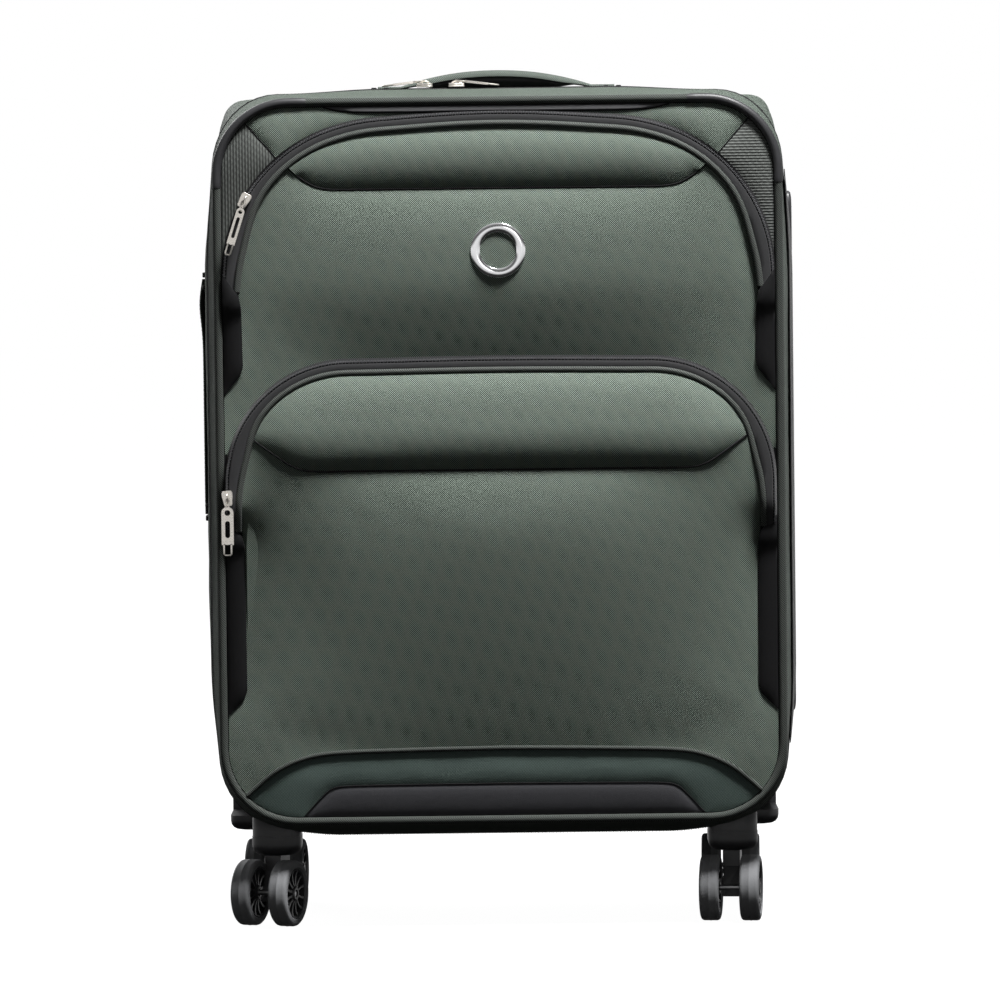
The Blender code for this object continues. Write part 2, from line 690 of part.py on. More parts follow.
def make_casters(plastic, steel, rubber):
    for corner, (x, y, swivel) in CASTERS.items():
        build = make_front_housing if corner.startswith("front") else make_rear_housing
        housing = build(corner + "_housing", x, y, plastic)
        low = (x, y, HOUSING_BOTTOM_Z - 0.004)
        high = (x, y, STEM_TOP_Z + 0.0006)
        bore = cylinder("cut_bore_" + corner, low, high, STEM_BORE_RADIUS, plastic)
        boolean(housing, bore, "DIFFERENCE")
        centre, axle = make_fork(corner + "_fork", x, y, swivel, plastic)
        start = centre - axle * AXLE_LENGTH / 2
        end = centre + axle * AXLE_LENGTH / 2
        cylinder(corner + "_axle", start, end, AXLE_RADIUS, steel, sides=12, origin=centre)
        for side, sign in (("inner", -1), ("outer", 1)):
            offset = math.copysign(WHEEL_OFFSET, x) * sign
            make_wheel(corner + "_" + side + "_wheel", centre, axle, offset, rubber)


# ---------------------------------------------------------------- assembly
def main():
    clear_scene()
    fabric = make_material("twill_fabric", (0.10, 0.12, 0.10), 0.85)
    lining = make_material("lining", (0.10, 0.10, 0.11), 0.80)
    trim = make_material("piping", (0.06, 0.065, 0.06), 0.70)
    zip_tape = make_material("zip_tape", (0.02, 0.02, 0.02), 0.60)
    leather = make_material("handle_fabric", (0.09, 0.11, 0.09), 0.80)
    plastic = make_material("black_plastic", (0.025, 0.025, 0.027), 0.40)
    button_plastic = make_material("button_plastic", (0.10, 0.10, 0.11), 0.35)
    aluminium = make_material("aluminium", (0.75, 0.75, 0.76), 0.30, 1.0)
    metal = make_material("zip_metal", (0.70, 0.66, 0.60), 0.30, 1.0)
    chrome = make_material("chrome", (0.85, 0.85, 0.86), 0.12, 1.0)
    steel = make_material("steel", (0.60, 0.60, 0.62), 0.30, 1.0)
    rubber = make_material("wheel_rubber", (0.08, 0.08, 0.085), 0.55)

    top_panel, left_panel = make_case(fabric, lining, trim, zip_tape)
    make_side_feet(plastic)
    make_top_handle(top_panel, leather, plastic)
    make_side_handle(left_panel, leather, plastic)
    make_telescopic_handle(top_panel, aluminium, plastic, button_plastic)

    hinge_x = outline(ZIP_Y)[0] + 0.0010
    hinge = (hinge_x, ZIP_Y, 0)
    make_lid(hinge, fabric, trim, zip_tape)
    make_pockets(hinge, fabric, zip_tape, chrome)
    track_front = UPPER_POCKET_Y[0] - GAP - 2 * ZIP_TRACK_RADIUS
    make_pocket_slider(
        "upper_zip", UPPER_ARC_CENTRE, UPPER_ARC_RADIUS, UPPER_SLIDER, track_front - GAP, metal
    )
    track_front = UPPER_POCKET_Y[1] - GAP - 2 * ZIP_TRACK_RADIUS
    make_pocket_slider(
        "lower_zip", LOWER_ARC_CENTRE, LOWER_ARC_RADIUS, LOWER_SLIDER, track_front - GAP, metal
    )
    make_main_slider("left", -0.0560, metal)
    make_main_slider("right", -0.0310, metal)
    make_casters(plastic, steel, rubber)


main()
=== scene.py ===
"""Looks of a softside upright suitcase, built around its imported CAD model.

Metres, +Z up, in the CAD's frame: the front faces -Y and the floor is at z = 0.
"""
import math

import bmesh
import bpy
import numpy as np
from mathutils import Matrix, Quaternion, Vector, noise
from mathutils.geometry import delaunay_2d_cdt


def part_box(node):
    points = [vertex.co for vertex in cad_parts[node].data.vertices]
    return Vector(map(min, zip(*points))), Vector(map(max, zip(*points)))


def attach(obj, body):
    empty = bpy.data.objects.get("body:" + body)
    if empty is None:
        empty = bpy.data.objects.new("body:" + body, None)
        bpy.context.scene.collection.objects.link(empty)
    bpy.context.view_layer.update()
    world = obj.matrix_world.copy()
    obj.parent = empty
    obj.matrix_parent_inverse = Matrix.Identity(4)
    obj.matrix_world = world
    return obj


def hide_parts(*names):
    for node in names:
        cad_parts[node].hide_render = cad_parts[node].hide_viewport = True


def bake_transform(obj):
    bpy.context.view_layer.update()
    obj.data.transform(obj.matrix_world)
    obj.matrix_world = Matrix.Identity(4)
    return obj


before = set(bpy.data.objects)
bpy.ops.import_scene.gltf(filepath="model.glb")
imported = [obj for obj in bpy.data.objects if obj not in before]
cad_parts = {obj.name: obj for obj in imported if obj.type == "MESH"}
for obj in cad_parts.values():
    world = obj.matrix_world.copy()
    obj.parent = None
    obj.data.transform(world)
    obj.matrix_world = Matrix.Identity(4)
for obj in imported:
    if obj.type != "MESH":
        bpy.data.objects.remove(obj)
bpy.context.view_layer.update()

# ---------------------------------------------------------------- sizes that the CAD settles
FRONT_Y, REAR_Y, ZIP_Y = -0.117, 0.143, -0.080
FRONT_HALF_WIDTH, FRONT_TOP, FRONT_BOTTOM, FRONT_RADIUS = 0.2217, 0.6487, 0.0816, 0.060
REAR_RADIUS = 0.020
SIDE_SWELL = 0.0120                   # how far the sides bulge halfway between front and back
WALL = 0.0040
LID_WALL = 0.0030
PIPING = 0.0032                       # radius of the piping
BOARD = 0.0070                        # from the piping's outside to the fabric inside it
UPPER_ARCH = (0.092, 0.5085, 0.1170)  # centre of the right-hand arc and radius of the zip's middle
LOWER_ARCH = (0.118, 0.3487, 0.0905)
TUBE_X, TUBE_Y = 0.075, 0.108
HANDLE_HALF = 0.0935
LEG_REACH = HANDLE_HALF - 0.0013      # from a carry handle's middle to the middle of its leg
TOP_HANDLE_Y = -0.005
SIDE_HANDLE_Y, SIDE_HANDLE_Z = 0.010, 0.415
CASTER_X, REAR_CASTER_Y = 0.185, 0.098
SIDES = (("left", -1), ("right", 1))
CORNERS = ("front_left", "front_right", "rear_left", "rear_right")


# ---------------------------------------------------------------- node materials
class Graph:
    """A Principled material whose nodes are added with short calls."""

    def __init__(self, name, roughness=0.8, metallic=0.0, **constants):
        self.material = bpy.data.materials.new(name)
        self.material.use_nodes = True
        self.tree = self.material.node_tree
        self.shader = self.tree.nodes["Principled BSDF"]
        self.set("Roughness", roughness)
        self.set("Metallic", metallic)
        for key, value in constants.items():
            self.set(key.replace("_", " "), value)
        self.coords = self.add("TexCoord")
        self.position = self.coords.outputs["Object"]

    def add(self, kind, **settings):
        node = self.tree.nodes.new("ShaderNode" + kind)
        for key, value in settings.items():
            setattr(node, key, value)
        return node

    def put(self, socket, value):
        if isinstance(value, bpy.types.NodeSocket):
            self.tree.links.new(value, socket)
        else:
            socket.default_value = value

    def set(self, name, value):
        self.put(self.shader.inputs[name], value)

    def math(self, operation, *values, clamp=False):
        node = self.add("Math", operation=operation, use_clamp=clamp)
        for socket, value in zip(node.inputs, values):
            self.put(socket, value)
        return node.outputs[0]

    def mix(self, factor, a, b):
        node = self.add("Mix", data_type="RGBA")
        self.put(node.inputs["Factor"], factor)
        for socket, value in ((node.inputs[6], a), (node.inputs[7], b)):
            self.put(socket, value if isinstance(value, bpy.types.NodeSocket) else (*value, 1.0))
        return node.outputs[2]

    def scale_color(self, color, amount):
        node = self.add("VectorMath", operation="SCALE")
        self.put(node.inputs[0], color)
        self.put(node.inputs["Scale"], amount)
        return node.outputs[0]

    def noise(self, scale, detail=2.0, stretch=None):
        node = self.add("TexNoise")
        node.inputs["Scale"].default_value = scale
        node.inputs["Detail"].default_value = detail
        vector = self.position
        if stretch:
            mapping = self.add("Mapping")
            mapping.inputs["Scale"].default_value = stretch
            self.put(mapping.inputs["Vector"], vector)
            vector = mapping.outputs[0]
        self.put(node.inputs["Vector"], vector)
        return node.outputs["Fac"]

    def spread(self, value, low, high):
        node = self.add("MapRange")
        self.put(node.inputs["Value"], value)
        node.inputs["To Min"].default_value = low
        node.inputs["To Max"].default_value = high
        return node.outputs[0]

    def bump(self, height, distance, strength=0.6):
        node = self.add("Bump")
        node.inputs["Strength"].default_value = strength
        node.inputs["Distance"].default_value = distance
        self.put(node.inputs["Height"], height)
        self.set("Normal", node.outputs[0])

    def flat_axes(self):
        """Two coordinates that run along the surface, chosen by the way it faces."""
        place = self.add("SeparateXYZ")
        self.put(place.inputs[0], self.position)
        facing = self.add("SeparateXYZ")
        self.put(facing.inputs[0], self.coords.outputs["Normal"])
        x, y, z = place.outputs
        side = self.math("GREATER_THAN", self.math("ABSOLUTE", facing.outputs[0]), 0.72)
        level = self.math("GREATER_THAN", self.math("ABSOLUTE", facing.outputs[2]), 0.72)
        u = self.math("ADD", x, self.math("MULTIPLY", side, self.math("SUBTRACT", y, x)))
        v = self.math("ADD", z, self.math("MULTIPLY", level, self.math("SUBTRACT", y, z)))
        return u, v

    def wave(self, value, period):
        return self.math("SINE", self.math("MULTIPLY", value, 2 * math.pi / period))

    def finish_cloth(self, color, height, depth, tone, roughness):
        """Adds uneven tone, slub and wear to a woven colour, and its relief."""
        cloud = self.spread(self.noise(7.0, 4.0), 1 - tone, 1 + tone)
        fleck = self.spread(self.noise(420.0, 1.0), 0.97, 1.03)
        shade = self.math("MULTIPLY", cloud, fleck)
        self.set("Base Color", self.scale_color(color, shade))
        self.set("Roughness", self.spread(self.noise(60.0, 3.0), roughness - 0.06, roughness + 0.06))
        self.bump(height, depth)


def twill(name, dark, light, pitch=0.00164, cross=0.55, tone=0.025, roughness=0.70, sheen=0.05,
          gloss=0.12):
    """Two-tone cloth whose fine ribs cross on both diagonals."""
    graph = Graph(name, Sheen_Weight=sheen, Sheen_Roughness=0.45)
    graph.set("Specular IOR Level", gloss)
    u, v = graph.flat_axes()
    one = graph.wave(graph.math("ADD", u, v), pitch)
    other = graph.wave(graph.math("SUBTRACT", u, v), pitch)
    thread = graph.math("ADD", one, graph.math("MULTIPLY", other, cross))
    share = graph.math("MULTIPLY_ADD", thread, 0.80, 0.42, clamp=True)
    graph.finish_cloth(graph.mix(share, dark, light), thread, 0.00014, tone, roughness)
    return graph.material


def ribbed(name, dark, light, upright, pitch=0.0023, dash=0.0052):
    """Corded cloth: fine ribs, upright or level, broken into staggered dashes."""
    graph = Graph(name, Sheen_Weight=0.2, Sheen_Roughness=0.5)
    graph.set("Specular IOR Level", 0.3)
    u, v = graph.flat_axes()
    across, along = (u, v) if upright else (v, u)
    rib = graph.wave(across, pitch)
    row = graph.math("FLOOR", graph.math("DIVIDE", across, pitch))
    stagger = graph.math("MULTIPLY", row, dash * 0.37)
    gap = graph.wave(graph.math("ADD", along, stagger), dash)
    thread = graph.math("ADD", rib, graph.math("MULTIPLY", gap, 0.45))
    share = graph.math("MULTIPLY_ADD", thread, 0.45, 0.48, clamp=True)
    graph.finish_cloth(graph.mix(share, dark, light), rib, 0.00025, 0.05, 0.75)
    return graph.material


def plain_weave(name, dark, light, pitch=0.0009, roughness=0.7, sheen=0.08, tone=0.08):
    """Fine over-and-under cloth."""
    graph = Graph(name, Sheen_Weight=sheen, Sheen_Roughness=0.4)
    graph.set("Specular IOR Level", 0.12)
    u, v = graph.flat_axes()
    thread = graph.math("MULTIPLY", graph.wave(u, pitch), graph.wave(v, pitch))
    share = graph.math("MULTIPLY_ADD", thread, 0.5, 0.5, clamp=True)
    graph.finish_cloth(graph.mix(share, dark, light), thread, 0.00008, tone, roughness)
    return graph.material


def moulded(name, color, roughness, grain=0.00006, worn=0.35):
    """Moulded plastic or rubber with a spark-eroded grain, rubbed paler in patches."""
    graph = Graph(name)
    graph.set("Specular IOR Level", 0.45)
    patch = graph.noise(38.0, 5.0)
    rubbed = graph.math("MULTIPLY_ADD", patch, 2.6, -1.15, clamp=True)
    pale = [min(1.0, c * (1 + worn) + 0.004) for c in color]
    graph.set("Base Color", graph.mix(rubbed, color, pale))
    graph.set("Roughness", graph.spread(graph.noise(90.0, 3.0), roughness - 0.07, roughness + 0.09))
    graph.bump(graph.noise(1500.0, 2.0), grain, 0.5)
    return graph.material


def metal(name, color, roughness, stretch=(1, 1, 1), scratch=0.00003):
    """Plated or drawn metal with fine marks along one direction."""
    graph = Graph(name, metallic=1.0)
    streak = graph.noise(600.0, 3.0, stretch)
    graph.set("Base Color", graph.mix(graph.noise(70.0, 3.0), [c * 0.9 for c in color], color))
    graph.set("Roughness", graph.spread(streak, roughness * 0.75, roughness * 1.35))
    graph.bump(streak, scratch, 0.25)
    return graph.material


def netting(name, dark, light):
    """Knitted mesh: dark holes in staggered rows between paler threads."""
    graph = Graph(name, Sheen_Weight=0.2)
    u, v = graph.flat_axes()
    hole = graph.math("MULTIPLY", graph.wave(u, 0.0034), graph.wave(v, 0.0058))
    share = graph.math("MULTIPLY_ADD", graph.math("ABSOLUTE", hole), -3.0, 1.4, clamp=True)
    graph.finish_cloth(graph.mix(share, dark, light), share, 0.0003, 0.06, 0.7)
    return graph.material


MATERIALS = {
    "twill_fabric": twill("twill_fabric", (0.016, 0.022, 0.018), (0.285, 0.342, 0.290), roughness=0.62,
                          sheen=0.0, gloss=0.04),
    # The front's twill at half its brightness: painted shade on the case's walls, top and back, which are the same
    # cloth.
    "shaded_twill_fabric": twill("shaded_twill_fabric", (0.018, 0.023, 0.019), (0.145, 0.172, 0.148), gloss=0.05),
    "handle_fabric": twill("handle_fabric", (0.026, 0.032, 0.027), (0.15, 0.175, 0.155)),
    "base_fabric": twill("base_fabric", (0.026, 0.040, 0.035), (0.190, 0.255, 0.230), 0.0012, 0.9, 0.05),
    "piping": twill("piping", (0.020, 0.022, 0.020), (0.088, 0.098, 0.089), 0.0018, 0.2, 0.06),
    "rib_left": ribbed("rib_left", (0.035, 0.038, 0.035), (0.125, 0.135, 0.125), True),
    "rib_right": ribbed("rib_right", (0.035, 0.038, 0.035), (0.14, 0.15, 0.14), False),
    "cord": twill("cord", (0.026, 0.028, 0.026), (0.100, 0.110, 0.101), 0.0018, 0.2, 0.06, 0.5),
    "charcoal_fabric": plain_weave("charcoal_fabric", (0.042, 0.042, 0.046), (0.088, 0.088, 0.095)),
    # The charcoal cloth made about twice as pale: painted light on the top insert.
    "charcoal_painted_light": plain_weave("charcoal_painted_light", (0.085, 0.085, 0.089), (0.17, 0.17, 0.175)),
    "black_fabric": plain_weave("black_fabric", (0.0042, 0.0042, 0.0046), (0.0095, 0.0095, 0.0102)),
    "lining": plain_weave("lining", (0.085, 0.088, 0.095), (0.15, 0.155, 0.165), 0.0012, 0.55, 0.35),
    "webbing": plain_weave("webbing", (0.012, 0.012, 0.013), (0.040, 0.040, 0.043), 0.0026, 0.65),
    "zip_tape": plain_weave("zip_tape", (0.008, 0.008, 0.0085), (0.026, 0.026, 0.027), 0.0013, 0.62),
    "mesh": netting("mesh", (0.012, 0.012, 0.013), (0.06, 0.06, 0.064)),
    "corner_sleeve": moulded("corner_sleeve", (0.022, 0.022, 0.024), 0.45, 0.00004, 0.5),
    "flap": plain_weave("flap", (0.030, 0.030, 0.031), (0.060, 0.060, 0.062), 0.0010, 0.6),
    # The coil's dark plastic made pale: painted glints on the arch zips' teeth.
    "coil_painted_glint": moulded("coil_painted_glint", (0.10, 0.10, 0.105), 0.38, 0.00001, 0.6),
    "coil": moulded("coil", (0.016, 0.016, 0.017), 0.38, 0.00001, 0.6),
    "black_plastic": moulded("black_plastic", (0.019, 0.019, 0.021), 0.42),
    "caster_plastic": moulded("caster_plastic", (0.032, 0.032, 0.034), 0.40, 0.00003, 0.6),
    "wheel_tread": moulded("wheel_tread", (0.200, 0.203, 0.210), 0.80, 0.00030, 0.75),
    "button_plastic": moulded("button_plastic", (0.085, 0.085, 0.09), 0.33, 0.00002),
    "zip_metal": metal("zip_metal", (0.78, 0.74, 0.68), 0.27, (1, 1, 8)),
    "chrome": metal("chrome", (0.86, 0.86, 0.87), 0.10, scratch=0.00001),
    "aluminium": metal("aluminium", (0.74, 0.74, 0.75), 0.32, (12, 12, 0.4)),
    "steel": metal("steel", (0.56, 0.56, 0.57), 0.30),
}


# ---------------------------------------------------------------- mesh builders
def unit(rows):
    """The same directions, each of length 1."""
    return rows / np.linalg.norm(rows, axis=1)[:, None]


class Shape:
    """Vertices and faces gathered from several closed forms into one piece."""

    def __init__(self):
        self.verts = []
        self.faces = []

    def add(self, verts, faces):
        base = len(self.verts)
        self.verts += [tuple(map(float, v)) for v in verts]
        self.faces += [[i + base for i in face] for face in faces]
        return self

    def loft(self, sections, closed=False, capped=True):
        """Joins equal sections, each a ring of points, with quads."""
        size = len(sections[0])
        rows = len(sections) if closed else len(sections) - 1
        faces = []
        for i in range(rows):
            here = i * size
            there = (i + 1) % len(sections) * size
            for j in range(size):
                k = (j + 1) % size
                faces.append([here + j, here + k, there + k, there + j])
        if capped and not closed:
            faces.append(list(range(size)))
            faces.append([len(sections) * size - 1 - j for j in range(size)])
        return self.add([p for section in sections for p in section], faces)

    def sweep(self, points, ups, profile, closed=False, scales=None):
        """Carries a profile of (side, up) pairs along points. ups is one direction or one for each."""
        path = np.array(points, float)
        up = np.broadcast_to(np.array(ups, float), path.shape)
        if closed:
            tangent = unit(np.roll(path, -1, 0) - np.roll(path, 1, 0))
        else:
            tangent = unit(np.gradient(path, axis=0))
        side = unit(np.cross(tangent, up))
        up = np.cross(side, tangent)
        size = np.ones(len(path)) if scales is None else np.array(scales, float)
        sections = []
        for p, s, u, k in zip(path, side, up, size):
            sections.append([p + s * a * k + u * b * k for a, b in profile])
        return self.loft(sections, closed)

    def blocks(self, centres, axes, half):
        """Small tapered bars, each given by its centre and its three axes."""
        for centre, (a, b, c) in zip(centres, axes):
            corners = []
            for height, shrink in ((-1, 1.0), (1, 0.72)):
                for sa, sb in ((-1, -1), (1, -1), (1, 1), (-1, 1)):
                    offset = a * (sa * half[0] * shrink) + b * (sb * half[1] * shrink)
                    corners.append(centre + offset + c * (height * half[2]))
            faces = [[3, 2, 1, 0], [4, 5, 6, 7]]
            faces += [[i, (i + 1) % 4, (i + 1) % 4 + 4, i + 4] for i in range(4)]
            self.add(corners, faces)
        return self

    def piece(self, name, material, body, *replaced, sharp=40, blend=None):
        """Makes the mesh object, gives it its material, and rides it on its body, or for a blend piece bakes it in
        place.
        """
        mesh = bpy.data.meshes.new(name)
        mesh.from_pydata(self.verts, [], self.faces)
        bm = bmesh.new()
        bm.from_mesh(mesh)
        bmesh.ops.recalc_face_normals(bm, faces=bm.faces)
        bm.to_mesh(mesh)
        bm.free()
        mesh.shade_smooth()
        mesh.set_sharp_from_angle(angle=math.radians(sharp))
        made = bpy.data.objects.new(name, mesh)
        bpy.context.scene.collection.objects.link(made)
        mesh.materials.append(MATERIALS[material])
        if blend:
            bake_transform(made)
        else:
            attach(made, body)
        if replaced:
            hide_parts(*replaced)
        return made


def circle(radius, count=8):
    """A round profile of (side, up) pairs."""
    turns = [2 * math.pi * i / count for i in range(count)]
    return [(radius * math.cos(t), radius * math.sin(t)) for t in turns]


def lathe(profile, centre, axle, steps=48):
    """Sections of a profile of (distance along the axle, radius) turned about the axle."""
    axle = Vector(axle).normalized()
    first = axle.orthogonal().normalized()
    second = axle.cross(first)
    sections = []
    for i in range(steps):
        turn = 2 * math.pi * i / steps
        radial = first * math.cos(turn) + second * math.sin(turn)
        sections.append([Vector(centre) + axle * a + radial * r for a, r in profile])
    return sections


def ease(t):
    t = np.clip(t, 0.0, 1.0)
    return t * t * (3 - 2 * t)


def smooth_line(points, step=0.004):
    """A rounded line through a few points, as closely spaced points."""
    p = np.array(points, float)
    p = np.vstack([2 * p[0] - p[1], p, 2 * p[-1] - p[-2]])
    line = []
    for i in range(1, len(p) - 2):
        count = max(2, int(np.linalg.norm(p[i + 1] - p[i]) / step))
        for s in range(count):
            t = s / count
            line.append(
                0.5 * (2 * p[i] + (p[i + 1] - p[i - 1]) * t
                       + (2 * p[i - 1] - 5 * p[i] + 4 * p[i + 1] - p[i + 2]) * t * t
                       + (3 * p[i] - p[i - 1] - 3 * p[i + 1] + p[i + 2]) * t ** 3)
            )
    line.append(p[-2])
    return [tuple(q) for q in line]


def even_line(points, step, closed=False):
    """The same line with points a fixed distance apart."""
    p = np.array(points, float)
    if closed:
        p = np.vstack([p, p[:1]])
    run = np.concatenate([[0], np.cumsum(np.linalg.norm(np.diff(p, axis=0), axis=1))])
    count = max(2, int(round(run[-1] / step)))
    places = np.linspace(0, run[-1], count + 1)
    if closed:
        places = places[:-1]
    return np.stack([np.interp(places, run, p[:, k]) for k in range(p.shape[1])], 1)


def mirrored(half):
    """A whole outline from its right half, which runs from x = 0 to x = 0."""
    left = [(-x, z) for x, z in reversed(half) if x > 0.0002]
    return list(half) + left


def both_sides(half):
    """A whole line from its right half, which starts at x = 0."""
    return [(-x, z) for x, z in half[:0:-1]] + half


def edge_distance(points, polygon):
    """Distance of each point from a closed polygon's edges, and whether it is inside."""
    p = np.asarray(points, float)
    a = np.asarray(polygon, float)
    b = np.roll(a, -1, 0)
    d = b - a
    length = np.maximum((d ** 2).sum(1), 1e-16)
    best = np.full(len(p), 1e9)
    inside = np.zeros(len(p), bool)
    for (ax, az), (bx, bz), (dx, dz), ll in zip(a, b, d, length):
        t = np.clip(((p[:, 0] - ax) * dx + (p[:, 1] - az) * dz) / ll, 0, 1)
        best = np.minimum(best, np.hypot(p[:, 0] - ax - t * dx, p[:, 1] - az - t * dz))
        crosses = (az > p[:, 1]) != (bz > p[:, 1])
        if dz:
            inside ^= crosses & (p[:, 0] < ax + (p[:, 1] - az) * dx / dz)
    return best, inside


# ---------------------------------------------------------------- outline of the case
def depth_share(y):
    """Depth y as a share of the way from the front to the back, and how far the sides swell there."""
    t = (y - FRONT_Y) / (REAR_Y - FRONT_Y)
    return t, 1 - abs(2 * t - 1) ** 2.4


def outline(y):
    """Half width, bottom, top and corner radius of the case's outer surface at depth y."""
    t, swell = depth_share(y)
    step = ease(t / 0.15)       # the case stands above and below the lid's piping from here back
    half_width = FRONT_HALF_WIDTH + 0.0028 * t + SIDE_SWELL * swell
    bottom = FRONT_BOTTOM - 0.0116 * step
    top = FRONT_TOP + 0.0068 * step + 0.0027 * math.sin(math.pi * min(max(t, 0), 1))
    radius = FRONT_RADIUS + (REAR_RADIUS - FRONT_RADIUS) * ease(t)
    return half_width, bottom, top, radius


def around(y, inset=0.0, side_steps=44, end_steps=34, corner_steps=10):
    """Points round the case at depth y, each (x, z, outward x, outward z), anticlockwise."""
    half, bottom, top, radius = outline(y)
    reach = radius - inset
    corners = [(1, 1), (-1, 1), (-1, -1), (1, -1)]
    middles = [(sx * (half - radius), top - radius if sz > 0 else bottom + radius) for sx, sz in corners]
    points = []
    for i, (mx, mz) in enumerate(middles):
        for s in range(corner_steps + 1):
            turn = math.radians(90 * (i + s / corner_steps))
            points.append((mx + reach * math.cos(turn), mz + reach * math.sin(turn), math.cos(turn), math.sin(turn)))
        nx, nz = middles[(i + 1) % 4]
        turn = math.radians(90 * (i + 1))
        ox, oz = math.cos(turn), math.sin(turn)
        steps = end_steps if i % 2 == 0 else side_steps
        for s in range(1, steps):
            f = s / steps
            points.append((mx + (nx - mx) * f + reach * ox, mz + (nz - mz) * f + reach * oz, ox, oz))
    return [draw_in(y, *point) for point in points]


def draw_in(y, x, z, ox, oz):
    """Takes the swell off the sides near the top and foot, and off the top near its corners."""
    _, swell = depth_share(y)
    ends = ease((z - 0.508) / 0.135) + ease((0.205 - z) / 0.120)
    dip = 0.0055 * ease((abs(x) - 0.088) / 0.080) if oz > 0 else 0.0120 * ease((abs(x) - 0.130) / 0.070)
    return x - ox * SIDE_SWELL * swell * min(ends, 1.0), z - oz * dip * swell, ox, oz


def ring_wall(rows, wrinkle=0.0, seed=0.0):
    """A closed band round the case. rows are (y, inset) pairs of its cross-section's outline."""
    columns = [around(y, inset) for y, inset in rows]
    low = min(y for y, _ in rows)
    span = max(y for y, _ in rows) - low
    sections = []
    for k in range(len(columns[0])):
        section = []
        for (y, _), column in zip(rows, columns):
            x, z, ox, oz = column[k]
            calm = math.sin(math.pi * min(max((y - low) / span, 0), 1)) ** 0.6 if span else 0
            wave = noise.noise(Vector((x * 9 + seed, y * 17, z * 9))) + 0.5 * noise.noise(
                Vector((x * 31, y * 24 + seed, z * 31))
            )
            push = wrinkle * calm * (wave - 0.75)
            section.append((x + ox * push, y, z + oz * push))
        sections.append(section)
    return Shape().loft(sections, closed=True)


def ring_path(y, inset):
    """Points and outward directions round the case at depth y."""
    line = around(y, inset)
    return [(x, y, z) for x, z, _, _ in line], [(ox, 0, oz) for _, _, ox, oz in line]


# ---------------------------------------------------------------- lines on the lid
BOARD_HALF = FRONT_HALF_WIDTH - BOARD
BOARD_TOP = FRONT_TOP - BOARD
BOARD_BOTTOM = FRONT_BOTTOM + BOARD
BOARD_RADIUS = FRONT_RADIUS - BOARD


def board_arc(start, end, top=True):
    """The board's rounded corner on the right, from one angle to another."""
    cx = BOARD_HALF - BOARD_RADIUS
    cz = BOARD_TOP - BOARD_RADIUS if top else BOARD_BOTTOM + BOARD_RADIUS
    count = max(2, int(abs(end - start) / 5))
    turns = [math.radians(start + (end - start) * i / count) for i in range(count + 1)]
    return [(cx + BOARD_RADIUS * math.cos(t), cz + BOARD_RADIUS * math.sin(t)) for t in turns]


def crown(arch, x):
    """How far the top of an arch bows up in its middle."""
    rise = 0.0062 if arch is UPPER_ARCH else 0.0012
    return rise * max(0.0, 1 - (x / 0.130) ** 2) ** 2


def cord_shift(turn):
    """How far the cord lies inside the zip's middle line. It draws in above the arch's foot."""
    return -(0.0040 + 0.0044 * math.exp(-(((turn - 14) / 17) ** 2)))


def arch_half(arch, shift, foot_z, start=-90.0, end=90.0):
    """The right half of a line beside an arch's zip, from its foot to the top at x = 0.

    shift is a distance outwards or a function of the angle. start and end cut the arc, in degrees.
    """
    cx, cz, radius = arch
    move = shift if callable(shift) else lambda turn: shift
    points = []
    if start <= -90:
        drop = cz - foot_z
        for i in range(6):
            z = foot_z + drop * i / 6
            turn = -math.degrees(math.atan2(cz - z, radius))
            points.append((cx + radius + move(turn), z))
        start = 0.0
    count = max(2, int((end - start) / 4))
    for i in range(count + 1):
        turn = start + (end - start) * i / count
        reach = radius + move(turn)
        x = cx + reach * math.cos(math.radians(turn))
        z = cz + reach * math.sin(math.radians(turn))
        points.append((x, z + crown(arch, x)))
    if end >= 90:
        reach = radius + move(90.0)
        for i in range(1, 17):
            x = cx * (1 - i / 16)
            points.append((x, cz + reach + crown(arch, x)))
    return points


def flank(turn):
    """Where the cord's inner side lies."""
    return cord_shift(turn) - CORD


def level(y):
    """A depth function that is the same everywhere."""
    return lambda *place: np.full_like(place[0], y)


UPPER_FOOT, LOWER_FOOT = 0.4990, 0.3130
ZIP_OUTSIDE = 0.0047                  # the coil stands here, outside the arch's middle line
COIL_MIDDLE = ZIP_OUTSIDE - 0.0003
ZIP_EDGE = ZIP_OUTSIDE + 0.0012       # and the fabric outside it ends here
CORD = 0.0026                         # radius of the fabric-covered cord
TOP_CLOTH = (0.5, 0.001, 0.0006)      # pressure, excess and cap of the pockets' top parts
BODY_CLOTH = (0.4, 0.001, 0.0006)     # and of their bodies
UPPER_SEAM = smooth_line([(0, 0.5776), (0.100, 0.5776), (0.134, 0.5784), (0.149, 0.5840), (0.1625, 0.5946)])
LOWER_SEAM = smooth_line([(0, 0.3592), (0.100, 0.3592), (0.144, 0.3594), (0.160, 0.3628), (0.174, 0.3715),
                          (0.1915, 0.3838)])
BEAD_LINE = smooth_line([(0, 0.1412), (0.075, 0.1402), (0.133, 0.1384), (0.158, 0.1338), (0.179, 0.1240),
                         (0.2008, 0.1060)])
FOOT_LINE = smooth_line([(0, 0.1131), (0.080, 0.1127), (0.121, 0.1122), (0.1335, 0.1105), (0.1405, 0.1055),
                         (0.1560, 0.0888)])
LENS_LINE = smooth_line([(0, 0.6372), (0.060, 0.6370), (0.104, 0.6372), (0.122, 0.6386), (0.1345, 0.6414)])
UPPER_BLACK = [(BOARD_HALF, 0.5125), (0.2025, 0.4960), (0.2004, 0.4860), (0.1996, 0.4400), (0.2018, 0.4340),
               (BOARD_HALF, 0.4185)]
LOWER_BLACK = [(BOARD_HALF, 0.3210), (0.2020, 0.3085), (0.2000, 0.3000), (0.1996, 0.1880), (0.2020, 0.1810),
               (BOARD_HALF, 0.1685)]


